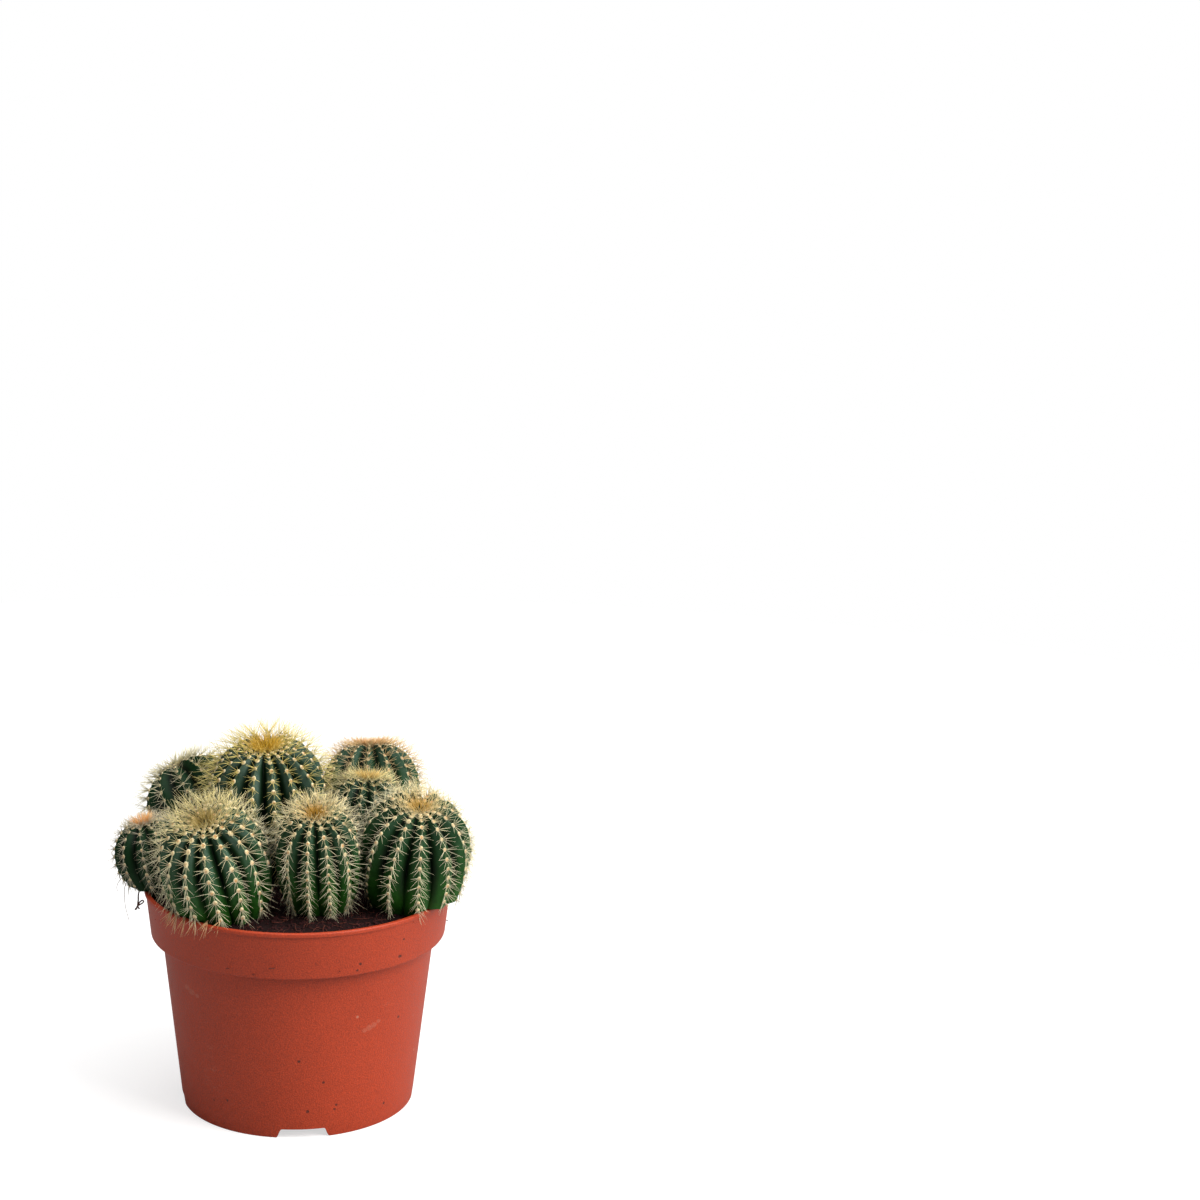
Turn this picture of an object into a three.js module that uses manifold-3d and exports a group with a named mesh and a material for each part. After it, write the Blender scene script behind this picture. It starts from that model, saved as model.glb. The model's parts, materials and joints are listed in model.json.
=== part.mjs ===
// A clump of round ribbed cactus heads growing in a terracotta coloured plastic nursery pot.
// Millimetres, +Z up. The origin is the centre of the pot's foot, on the surface it stands on.
// -Y is the front: the side with a foot notch in its middle and the three lowest, nearest heads.

import * as THREE from 'three';
import { mergeVertices } from 'three/addons/utils/BufferGeometryUtils.js';
import Module from 'manifold-3d';

const wasm = await Module();
wasm.setup();

// ---- Driving dimensions: the pot ----
const POT_HEIGHT = 124;
const RIM_RADIUS = 85; // outside of the small bead at the very top
const BEAD_HEIGHT = 2.5;
const BEAD_OVERHANG = 0.9;
const BAND_HEIGHT = 27; // the wide band under the bead
const BAND_FOOT_RADIUS = 81.3;
const BODY_TOP_RADIUS = 75.4; // the tapered body under the band
const EDGE = 0.6; // bevels at the bead and under the band
const FOOT_RADIUS = 64.4;
const WALL = 1.5;
const FLOOR_LEVEL = 5.5; // the floor's underside is raised above the foot
const FLOOR_THICKNESS = 1.5;
const NOTCH_WIDTH = 24; // gaps in the foot that let water run out
const NOTCH_HEIGHT = 5.2;
const NOTCH_CORNER = 1.6;
const NOTCH_REACH = 16; // of the cut, half of it inside the foot's outer face
const NOTCH_COUNT = 4;
const NOTCH_TURN = 2.3; // degrees, from the middle of the front towards the right
const DRAIN_RADIUS = 5;
const DRAIN_COUNT = 6;
const DRAIN_CIRCLE = 44;
const DRAIN_SIDES = 12;
const ROUND_SIDES = 48;

// ---- Driving dimensions: the soil ----
const SOIL_EDGE_LEVEL = 119.5;
const SOIL_CROWN_LEVEL = 121;
const SOIL_GAP = 0.3; // between the soil and the pot
const SHOULDER_PART = 0.6; // of the soil's radius, where it starts to slope to its edge
const SHOULDER_LEVEL = 120.5;
const HOLE_CLEARANCE = 0.6; // between the soil and a head
const HOLE_SIDES = 10;
const HOLE_STEPS = 6;
const HOLE_TOP = 0.4 * Math.PI; // the polar angle of a head up to which its hole reaches

// ---- Driving dimensions: the heads ----
// centre is the middle of the widest ring; above is the height from there to the shoulder; root
// is the height of its lowest point, in the soil; fullness is how square its lower half is;
// lean is the sideways step of the head's axis for each unit of height; turn is how far its
// ribs are turned about the axis, in degrees; crown is the length of the upright spines round
// the growing point, and side that of the spines on the flanks.
const HEADS = [
  { name: 'head_front_left', centre: [-44.6, -46.5, 150], radius: 29.3, above: 31.5, root: 112,
    fullness: 2.4, lean: [-0.2, -0.38], ribs: 14, turn: -4, levels: 4, crown: 10, side: 7 },
  { name: 'head_front_middle', centre: [10, -44.5, 152.8], radius: 22.8, above: 32, root: 112,
    fullness: 2.1, lean: [-0.06, -0.42], ribs: 12, turn: -1, levels: 4, crown: 10, side: 7 },
  { name: 'head_front_right', centre: [62.2, -33.5, 151], radius: 30.1, above: 34.5, root: 112,
    fullness: 2.3, lean: [0.06, -0.4], ribs: 12, turn: -11, levels: 5, crown: 8, side: 6.5 },
  { name: 'head_side_left', centre: [-80.6, -4, 140.6], radius: 19.5, above: 21, root: 115.5,
    fullness: 1.6, lean: [-0.24, 0], ribs: 10, turn: -7, levels: 4, crown: 6, side: 5 },
  { name: 'head_back_left', centre: [-58.5, 53, 154.4], radius: 27.5, above: 25, root: 112,
    fullness: 1.8, lean: [-0.62, 0.45], ribs: 12, turn: -8, levels: 4, crown: 8, side: 7 },
  { name: 'head_tallest', centre: [-17, 12, 172], radius: 31.5, above: 31.5, root: 112,
    fullness: 2.2, lean: [-0.06, -0.25], ribs: 15, turn: 1, levels: 5, crown: 15, side: 8 },
  { name: 'head_back_right', centre: [41.2, 50.5, 161], radius: 28, above: 28, root: 112,
    fullness: 2, lean: [-0.04, 0.32], ribs: 14, turn: -4, levels: 4, crown: 8, side: 7 },
  { name: 'head_inner_right', centre: [36.8, 9, 163], radius: 18.2, above: 19, root: 112,
    fullness: 2, lean: [0.05, 0.08], ribs: 12, turn: 1, levels: 4, crown: 6, side: 6 },
  { name: 'head_back_middle', centre: [-8, 58, 147], radius: 20.5, above: 22, root: 112,
    fullness: 2, lean: [0.05, 0.38], ribs: 12, turn: 0, levels: 3, crown: 8, side: 6 },
  { name: 'head_side_right', centre: [79.3, 24, 134], radius: 18, above: 15.5, root: 116,
    fullness: 1.7, lean: [0.3, 0.1], ribs: 12, turn: 0, levels: 3, crown: 5, side: 7 },
];
const UPPER_FULLNESS = 2.35; // the profile's exponent: 2 is an ellipse, more is squarer
const CROWN_DIP = 0.1; // the hollow at the growing point, as a part of above
const CROWN_DIP_WIDTH = 0.28; // as a part of the radius
const RIB_DEPTH = 0.17; // how far a furrow lies inside its ribs, as a part of the radius
const CREST_HALF_WIDTH = 0.9;
const LAST_AREOLE = 0.72 * Math.PI; // polar angles of the lowest areoles and of the ribs' ends
const RIB_END = 0.78 * Math.PI;
const NEIGHBOUR_GAP = 0.9; // between two heads that crowd each other
const RIM_GAP = 0.4; // between a head and the pot

// ---- Driving dimensions: the spines ----
const CROWN_RING = 0.17; // radius of the ring round the growing point, as a part of the radius
const AREOLE_HALF_HEIGHT = 0.9;
const AREOLE_RISE = 0.5;
const YOUNG_ROWS = 1.6; // rows of areoles to which the crown's upright look fades, per level
const SHORTEST_SPINE = 2.2;
const LENGTH_SPREAD = 0.15; // how much longer or shorter than its length a spine can be
const SPINE_GAP = 0.7; // between a spine and whatever isn't its own head
const SEED = 7;

const TAU = 2 * Math.PI;
const vec = (x, y, z) => new THREE.Vector3(x, y, z);

// The same run of numbers from 0 to 1 every time.
function seededRandom(seed) {
  let state = seed >>> 0;
  return () => {
    state = (state + 0x6d2b79f5) >>> 0;
    let mixed = Math.imul(state ^ (state >>> 15), state | 1);
    mixed ^= mixed + Math.imul(mixed ^ (mixed >>> 7), mixed | 61);
    return ((mixed ^ (mixed >>> 14)) >>> 0) / 4294967296;
  };
}

// ---- Solids: manifold-3d only joins and cuts what three.js makes ----
function toSolid(geometry) {
  const bare = geometry.clone();
  bare.deleteAttribute('normal');
  bare.deleteAttribute('uv');
  const merged = mergeVertices(bare, 1e-4);
  return new wasm.Manifold(new wasm.Mesh({
    numProp: 3,
    vertProperties: new Float32Array(merged.attributes.position.array),
    triVerts: new Uint32Array(merged.index.array),
  }));
}

function toGeometry(solid) {
  const mesh = solid.getMesh();
  const geometry = new THREE.BufferGeometry();
  geometry.setAttribute('position', new THREE.BufferAttribute(mesh.vertProperties, 3));
  geometry.setIndex(new THREE.BufferAttribute(mesh.triVerts, 1));
  geometry.computeVertexNormals();
  return geometry;
}

// The largest body of a cut solid; a scrap that a cut leaves loose is dropped.
function largestBody(solid) {
  return solid.decompose().reduce((a, b) => (b.volume() > a.volume() ? b : a));
}

// A profile of [radius, height] points, in order round the outside from low to high.
function turned(profile, sides = ROUND_SIDES) {
  const points = profile.map(([radius, height]) => new THREE.Vector2(radius, height));
  return new THREE.LatheGeometry(points, sides).rotateX(Math.PI / 2);
}

// ---- The pot ----
function potProfile() {
  const bandFoot = POT_HEIGHT - BAND_HEIGHT;
  const bandTop = RIM_RADIUS - BEAD_OVERHANG;
  const beadFoot = POT_HEIGHT - BEAD_HEIGHT;
  const shelf = bandFoot + WALL;
  const floorTop = FLOOR_LEVEL + FLOOR_THICKNESS;
  return [
    [0, FLOOR_LEVEL],
    [FOOT_RADIUS - WALL, FLOOR_LEVEL],
    [FOOT_RADIUS - WALL, 0],
    [FOOT_RADIUS, 0],
    [BODY_TOP_RADIUS, bandFoot - EDGE],
    [BODY_TOP_RADIUS + EDGE, bandFoot],
    [BAND_FOOT_RADIUS, bandFoot],
    [bandTop, beadFoot],
    [RIM_RADIUS, beadFoot + EDGE],
    [RIM_RADIUS, POT_HEIGHT - EDGE],
    [RIM_RADIUS - EDGE, POT_HEIGHT],
    [bandTop - WALL, POT_HEIGHT],
    [BAND_FOOT_RADIUS - WALL, shelf],
    [BODY_TOP_RADIUS - WALL, shelf],
    [bodyInside(floorTop), floorTop],
    [0, floorTop],
  ];
}

// The radius of the tapered body's inside face at a height.
function bodyInside(height) {
  const slope = (BODY_TOP_RADIUS - FOOT_RADIUS) / (POT_HEIGHT - BAND_HEIGHT);
  return FOOT_RADIUS - WALL + slope * height;
}

function notchTurn(index) {
  return (NOTCH_TURN / 360 + index / NOTCH_COUNT) * TAU;
}

// A notch in the foot: a square opening with round upper corners, cut through the foot's wall.
function notchCutter(turn) {
  const half = NOTCH_WIDTH / 2;
  const cornerX = half - NOTCH_CORNER;
  const cornerZ = NOTCH_HEIGHT - NOTCH_CORNER;
  const below = 1;
  const shape = new THREE.Shape();
  shape.moveTo(-half, -below);
  shape.lineTo(half, -below);
  shape.lineTo(half, cornerZ);
  shape.absarc(cornerX, cornerZ, NOTCH_CORNER, 0, Math.PI / 2);
  shape.absarc(-cornerX, cornerZ, NOTCH_CORNER, Math.PI / 2, Math.PI);
  const outline = { depth: NOTCH_REACH, bevelEnabled: false, curveSegments: 4 };
  const block = new THREE.ExtrudeGeometry(shape, outline);
  block.rotateX(Math.PI / 2).translate(0, -FOOT_RADIUS + NOTCH_REACH / 2, 0);
  return toSolid(block.rotateZ(turn));
}

function drainCutter(turn) {
  const depth = 4 * FLOOR_THICKNESS;
  const hole = new THREE.CylinderGeometry(DRAIN_RADIUS, DRAIN_RADIUS, depth, DRAIN_SIDES);
  hole.rotateX(Math.PI / 2).translate(DRAIN_CIRCLE, 0, FLOOR_LEVEL + FLOOR_THICKNESS / 2);
  return toSolid(hole.rotateZ(turn));
}

function makePot() {
  let pot = toSolid(turned(potProfile()));
  for (let i = 0; i < NOTCH_COUNT; i++) pot = pot.subtract(notchCutter(notchTurn(i)));
  for (let i = 0; i < DRAIN_COUNT; i++) {
    pot = pot.subtract(drainCutter(((i + 0.5) * TAU) / DRAIN_COUNT));
  }
  return toGeometry(pot);
}

// ---- The form of a head ----
// Adds to a head its axis, two directions across it and its depth below the widest ring.
function withFrame(head) {
  const centre = vec(...head.centre);
  const axis = vec(head.lean[0], head.lean[1], 1).normalize();
  const across = vec(0, 0, 0).crossVectors(vec(0, 1, 0), axis).normalize();
  const behind = vec(0, 0, 0).crossVectors(axis, across);
  const below = (centre.z - head.root) / axis.z;
  return { ...head, centre, axis, across, behind, below };
}

// Radius and height of a head's envelope at a polar angle: 0 is the growing point.
function meridian(head, polar) {
  const isUpper = Math.cos(polar) > 0;
  const power = 2 / (isUpper ? UPPER_FULLNESS : head.fullness);
  const radius = head.radius * Math.sin(polar) ** power;
  if (!isUpper) return { radius, height: -head.below * Math.abs(Math.cos(polar)) ** power };
  const dip = CROWN_DIP * Math.exp(-((radius / (CROWN_DIP_WIDTH * head.radius)) ** 2));
  return { radius, height: head.above * (Math.cos(polar) ** power - dip) };
}

function onHead(head, polar, angle, inset = 0) {
  const { radius, height } = meridian(head, polar);
  const out = radius * (1 - inset);
  return head.centre.clone()
    .addScaledVector(head.across, out * Math.cos(angle))
    .addScaledVector(head.behind, out * Math.sin(angle))
    .addScaledVector(head.axis, height);
}

// Polar angles at even steps of arc length down a head's side.
function polarSteps(head, from, to, count) {
  const samples = 200;
  const arcs = [0];
  for (let i = 1; i <= samples; i++) {
    const a = meridian(head, from + ((to - from) * (i - 1)) / samples);
    const b = meridian(head, from + ((to - from) * i) / samples);
    arcs.push(arcs[i - 1] + Math.hypot(a.radius - b.radius, a.height - b.height));
  }
  const total = arcs[samples];
  const polarAt = (arc) => {
    const clamped = Math.min(Math.max(arc, 0), total);
    let i = 1;
    while (i < samples && arcs[i] < clamped) i++;
    const part = (clamped - arcs[i - 1]) / (arcs[i] - arcs[i - 1]);
    return from + ((to - from) * (i - 1 + part)) / samples;
  };
  return { polarAt, total, step: total / count };
}

// How far a point stands outside a head's envelope; negative inside it.
function reach(head, point) {
  const offset = point.clone().sub(head.centre);
  const height = offset.dot(head.axis);
  const out = offset.addScaledVector(head.axis, -height).length();
  const power = height > 0 ? UPPER_FULLNESS : head.fullness;
  const share = Math.abs(height) / (height > 0 ? head.above : head.below);
  const scale = ((out / head.radius) ** power + share ** power) ** (1 / power);
  return (scale - 1) * head.radius;
}

const heads = HEADS.map(withFrame);

// Whether a point is nearer to its own head than to any other, by a margin.
function isOwn(head, point, margin) {
  const own = reach(head, point);
  return heads.every((other) => other === head || own + margin <= reach(other, point));
}

// Heads flatten where they crowd each other: the point moves towards the axis until it is clear.
function crowded(head, point) {
  const height = point.clone().sub(head.centre).dot(head.axis);
  const onAxis = head.centre.clone().addScaledVector(head.axis, height);
  let pulled = point.clone();
  for (let keep = 1; keep > 0.2 && !isOwn(head, pulled, NEIGHBOUR_GAP); keep -= 0.02) {
    pulled = onAxis.clone().lerp(point, keep);
  }
  return pulled;
}

// ---- Spines ----
function isClear(head, point) {
  const radius = Math.hypot(point.x, point.y);
  const overPot = radius > BAND_FOOT_RADIUS - WALL && point.z < POT_HEIGHT + 1;
  return !overPot && point.z > SOIL_CROWN_LEVEL + SPINE_GAP && isOwn(head, point, SPINE_GAP);
}

// The tip of a spine from a root in a direction, shortened until it is clear; null if it can't be.
function spineTip(head, root, direction, length) {
  for (let size = length; size > SHORTEST_SPINE; size *= 0.85) {
    const tip = root.clone().addScaledVector(direction, size);
    const middle = root.clone().addScaledVector(direction, size * 0.5);
    if (isClear(head, tip) && isClear(head, middle)) return tip;
  }
  return null;
}

// ---- A head: a ribbed body whose crests rise to areoles with four spines each ----
function headGeometry(head, random) {
  const positions = [];
  const faces = [];
  const add = (point) => positions.push(point) - 1;
  const ribAngle = TAU / head.ribs;
  const turn = THREE.MathUtils.degToRad(head.turn);
  const staggerCycle = head.ribs % 2 ? 3 : 2;
  const ringPolar = Math.asin(CROWN_RING ** (UPPER_FULLNESS / 2));
  const flank = polarSteps(head, ringPolar, LAST_AREOLE, head.levels + 0.75);

  // A spine raised from a triangle of the surface, or the plain triangle where none fits.
  const raise = (a, b, c, direction, length) => {
    const root = vec(0, 0, 0).add(positions[a]).add(positions[b]).add(positions[c]);
    root.multiplyScalar(1 / 3);
    const size = length * (1 + LENGTH_SPREAD * (2 * random() - 1));
    const tip = spineTip(head, root, direction, size);
    if (!tip) {
      faces.push([a, b, c]);
      return;
    }
    const t = add(tip);
    faces.push([a, b, t], [b, c, t], [c, a, t]);
  };

  // Each ring has three points a rib: both sides of its crest, and the furrow after it.
  const makeRing = (polarOf) => {
    const ring = [];
    for (let rib = 0; rib < head.ribs; rib++) {
      for (const side of [-1, 1, 0]) {
        const polar = polarOf(rib, side);
        const round = meridian(head, polar).radius;
        const half = Math.min(CREST_HALF_WIDTH / round, 0.3 * ribAngle);
        const angle = side ? (rib + 0.5) * ribAngle + side * half : (rib + 1) * ribAngle;
        const inset = side ? 0 : RIB_DEPTH;
        ring.push(add(crowded(head, onHead(head, polar, angle + turn, inset))));
      }
    }
    return ring;
  };

  const rings = [makeRing(() => ringPolar)];
  for (let level = 0; level < head.levels; level++) {
    for (const edge of [-1, 1]) {
      rings.push(makeRing((rib, side) => {
        const stagger = side ? (rib % staggerCycle) / staggerCycle : 0.25;
        const arc = (level + 0.5 + stagger) * flank.step + edge * AREOLE_HALF_HEIGHT;
        return flank.polarAt(arc);
      }));
    }
  }
  rings.push(makeRing(() => RIB_END));

  const columns = 3 * head.ribs;
  const quad = (upper, lower, column) => {
    const next = (column + 1) % columns;
    return [upper[column], upper[next], lower[column], lower[next]];
  };
  for (let row = 0; row + 1 < rings.length; row++) {
    const isAreoleRow = row % 2 === 1;
    for (let column = 0; column < columns; column++) {
      const [a, b, c, d] = quad(rings[row], rings[row + 1], column);
      const isCrest = column % 3 === 0;
      if (isAreoleRow && isCrest) areole(a, b, c, d, row);
      else if (column % 3 === 1) faces.push([a, c, b], [b, c, d]);
      else faces.push([a, c, d], [a, d, b]);
    }
  }

  // The felt pad on a crest: its middle stands proud and each of its four sides holds a spine.
  function areole(a, b, c, d, row) {
    const [pa, pb, pc, pd] = [a, b, c, d].map((i) => positions[i]);
    const side = pb.clone().sub(pa).normalize();
    const down = pc.clone().sub(pa).normalize();
    const out = vec(0, 0, 0).crossVectors(down, side).normalize();
    const middle = pa.clone().add(pb).add(pc).add(pd).multiplyScalar(0.25);
    const m = add(middle.addScaledVector(out, AREOLE_RISE));
    const youth = Math.max(0, 1 - row / (YOUNG_ROWS * head.levels));
    const upright = head.axis.clone().multiplyScalar(0.9 * youth).addScaledVector(out, 0.42);
    const aim = (sideways, downwards) => upright.clone()
      .addScaledVector(side, sideways)
      .addScaledVector(down, downwards)
      .normalize();
    const upLength = head.side + (head.crown - head.side) * youth;
    const sideLength = head.side + 0.2 * (head.crown - head.side) * youth;
    raise(a, c, m, aim(-0.75, 0.15), sideLength);
    raise(c, d, m, aim(0, 0.8 - 0.3 * youth), sideLength);
    raise(d, b, m, aim(0.75, 0.15), sideLength);
    raise(b, a, m, aim(0, 0.45 * youth - 0.45), upLength);
  }

  // The growing point: upright spines stand round it.
  const crownPoint = add(onHead(head, 1e-4, 0));
  const crown = rings[0];
  for (let column = 0; column < columns; column++) {
    const [a, b] = [crown[column], crown[(column + 1) % columns]];
    const outwards = positions[a].clone().sub(positions[crownPoint]).normalize();
    const direction = head.axis.clone().addScaledVector(outwards, 0.3 + 0.3 * random()).normalize();
    if (column % 3 === 0) raise(crownPoint, a, b, direction, head.crown);
    else faces.push([crownPoint, a, b]);
  }
  const rootPoint = add(onHead(head, Math.PI - 1e-4, 0));
  const last = rings[rings.length - 1];
  for (let column = 0; column < columns; column++) {
    faces.push([rootPoint, last[(column + 1) % columns], last[column]]);
  }

  const geometry = new THREE.BufferGeometry();
  geometry.setAttribute('position', new THREE.Float32BufferAttribute(
    positions.flatMap((point) => point.toArray()), 3));
  geometry.setIndex(faces.flat());
  return geometry;
}

// The rim with room round it, and all that lies outside it: a head stops at this.
function rimKeepOut() {
  const inside = BAND_FOOT_RADIUS - WALL;
  const insideTop = RIM_RADIUS - BEAD_OVERHANG - WALL;
  const top = POT_HEIGHT + RIM_GAP;
  const far = 2 * RIM_RADIUS;
  const profile = [
    [inside - RIM_GAP, POT_HEIGHT - BAND_HEIGHT],
    [far, POT_HEIGHT - BAND_HEIGHT],
    [far, top],
    [insideTop - RIM_GAP, top],
    [inside - RIM_GAP, POT_HEIGHT - BAND_HEIGHT],
  ];
  return toSolid(turned(profile));
}

function makeHead(head, index) {
  const whole = toSolid(headGeometry(head, seededRandom(SEED + index)));
  return toGeometry(largestBody(whole.subtract(rimKeepOut())));
}

// ---- The soil ----
// The plain hole that a head stands in: its envelope with a little room round it.
function rootHole(head) {
  const profile = [];
  for (let i = 0; i <= HOLE_STEPS; i++) {
    const polar = Math.PI + ((HOLE_TOP - Math.PI) * i) / HOLE_STEPS;
    const { radius, height } = meridian(head, polar);
    const room = (radius + HOLE_CLEARANCE) / Math.cos(Math.PI / HOLE_SIDES);
    profile.push([i ? room : 0, height - (i ? 0 : HOLE_CLEARANCE)]);
  }
  profile.push([0, profile[HOLE_STEPS][1]]);
  const hole = turned(profile, HOLE_SIDES);
  const upright = new THREE.Quaternion().setFromUnitVectors(vec(0, 0, 1), head.axis);
  hole.applyQuaternion(upright).translate(head.centre.x, head.centre.y, head.centre.z);
  return toSolid(hole);
}

function makeSoil() {
  const bandFoot = POT_HEIGHT - BAND_HEIGHT;
  const floor = FLOOR_LEVEL + FLOOR_THICKNESS + SOIL_GAP;
  const bandInside = BAND_FOOT_RADIUS - WALL - SOIL_GAP;
  const block = turned([
    [0, floor],
    [bodyInside(floor) - SOIL_GAP, floor],
    [bodyInside(bandFoot) - SOIL_GAP, bandFoot + WALL + SOIL_GAP],
    [bandInside, bandFoot + WALL + SOIL_GAP],
    [bandInside, SOIL_EDGE_LEVEL],
    [SHOULDER_PART * bandInside, SHOULDER_LEVEL],
    [0, SOIL_CROWN_LEVEL],
  ]);
  let soil = toSolid(block);
  for (const head of heads) soil = soil.subtract(rootHole(head));
  return toGeometry(largestBody(soil));
}

// ---- Finishes ----
const finish = (color, roughness) => new THREE.MeshStandardMaterial({
  color, roughness, metalness: 0, flatShading: true,
});
const terracotta = finish(0xa8482f, 0.55);
const peat = finish(0x3a2619, 0.95);
const cactusSkin = finish(0x2f4a2c, 0.6);

// ---- The assembly ----
function named(name, geometry, material) {
  const mesh = new THREE.Mesh(geometry, material);
  mesh.name = name;
  return mesh;
}

const cactus = new THREE.Group();
cactus.add(named('pot', makePot(), terracotta));
cactus.add(named('soil', makeSoil(), peat));
heads.forEach((head, index) => {
  cactus.add(named(head.name, makeHead(head, index), cactusSkin));
});

export default cactus;
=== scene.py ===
"""A clump of round ribbed cactus heads growing in a terracotta coloured plastic nursery pot.

Metres, +Z up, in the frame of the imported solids. -Y is the front.
"""

import json
import math
from dataclasses import dataclass
from functools import cache

import bmesh
import bpy
import numpy as np
from bpy.props import FloatProperty, FloatVectorProperty, IntProperty, PointerProperty
from mathutils import Matrix, Vector, noise

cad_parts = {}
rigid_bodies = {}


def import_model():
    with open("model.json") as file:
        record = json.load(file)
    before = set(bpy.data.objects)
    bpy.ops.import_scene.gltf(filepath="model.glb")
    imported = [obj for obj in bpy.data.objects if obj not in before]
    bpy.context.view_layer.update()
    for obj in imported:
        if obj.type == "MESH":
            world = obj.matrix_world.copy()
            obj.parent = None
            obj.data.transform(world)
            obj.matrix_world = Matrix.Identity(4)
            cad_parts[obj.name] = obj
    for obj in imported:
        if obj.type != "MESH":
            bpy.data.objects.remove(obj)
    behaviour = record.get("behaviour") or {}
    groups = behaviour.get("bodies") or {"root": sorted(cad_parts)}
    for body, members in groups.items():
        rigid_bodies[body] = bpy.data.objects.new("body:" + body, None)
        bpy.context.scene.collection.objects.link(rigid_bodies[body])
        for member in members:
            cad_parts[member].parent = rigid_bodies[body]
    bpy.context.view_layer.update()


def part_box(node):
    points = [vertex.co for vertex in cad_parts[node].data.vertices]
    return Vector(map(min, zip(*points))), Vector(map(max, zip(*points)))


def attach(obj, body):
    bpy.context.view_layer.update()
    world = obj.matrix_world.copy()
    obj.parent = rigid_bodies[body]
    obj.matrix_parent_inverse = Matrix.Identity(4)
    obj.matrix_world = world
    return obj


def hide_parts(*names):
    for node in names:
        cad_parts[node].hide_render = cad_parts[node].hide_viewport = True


bl_info = {
    "name": "Potted round cactus",
    "version": (1, 0, 0),
    "blender": (4, 5, 0),
    "location": "3D View > Sidebar > Cactus",
    "description": "Makes a clump of ribbed cactus heads in a nursery pot round its packed solids",
    "category": "Object",
}

for leftover in list(bpy.data.objects):
    bpy.data.objects.remove(leftover)
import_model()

TAU = 2 * math.pi
POT_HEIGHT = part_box("pot")[1][2]
RIM_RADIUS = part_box("pot")[1][0]

# ---- The heads' envelopes ----
UPPER_FULLNESS = 2.35  # the profile's exponent: 2 is an ellipse, more is squarer
CROWN_DIP = 0.12  # depth of the hollow at the growing point, as a part of a head's upper height
CROWN_DIP_WIDTH = 0.28  # its width, as a part of the radius
BROOM_HEAD = "front_left"  # its lowest spines hang over the rim
BROOM_LENGTH = 0.0105  # of those spines
NEIGHBOUR_GAP = 0.0009  # between two heads that crowd each other
LEAST_WIDTH = 0.2  # of a crowded head, as a part of what it would be
HALVINGS = 13  # of the search for that width
RIM_GAP = 0.0004  # between a head and the pot

# Linear colours of the spines
CREAM = (0.98, 0.90, 0.60)
WHEAT = (0.97, 0.83, 0.45)
RUDDY = (0.98, 0.70, 0.36)
# A cream dulled with painted shade, for heads that stand in their neighbours' shade.
SHADE_DULLED_CREAM = (0.70, 0.62, 0.44)
STRAW = (0.97, 0.84, 0.41)
YELLOW = (0.96, 0.80, 0.26)
GOLDEN = (0.68, 0.44, 0.11)
OCHRE = (0.55, 0.30, 0.03)
GOLD = (0.66, 0.40, 0.03)
OLIVE = (0.46, 0.33, 0.09)
APRICOT = (0.95, 0.50, 0.17)
PEACH = (0.98, 0.62, 0.30)
TAN = (0.62, 0.38, 0.14)
PALE = (1.0, 0.92, 0.62)
RUSSET = (0.93, 0.60, 0.30)


@dataclass
class Head:
    """One head: its size, its place, how it leans and what its spines are like."""

    name: str
    centre: tuple  # the middle of the widest ring
    radius: float
    above: float  # height from the widest ring to the shoulder
    root: float  # height of its lowest point, in the soil
    fullness: float  # how square its lower half is
    lean: tuple  # the sideways step of the axis for each unit of height
    ribs: int
    turn: float  # of the ribs about the axis, in degrees
    heart: float  # width of the growing point's tuft, as a part of the radius
    spacing: float  # between the areoles down a rib
    young: float  # how far from the growing point the spines stand upright
    crown_length: float
    side_length: float
    heart_length: float
    crown_tint: tuple
    heart_tint: tuple  # of the short spines at the growing point
    side_tint: tuple
    bloom_and_sheen: float  # how blue-grey the upper skin is, from its waxy bloom and a painted sheen
    fresh: float  # how bright a green the lower skin is


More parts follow.
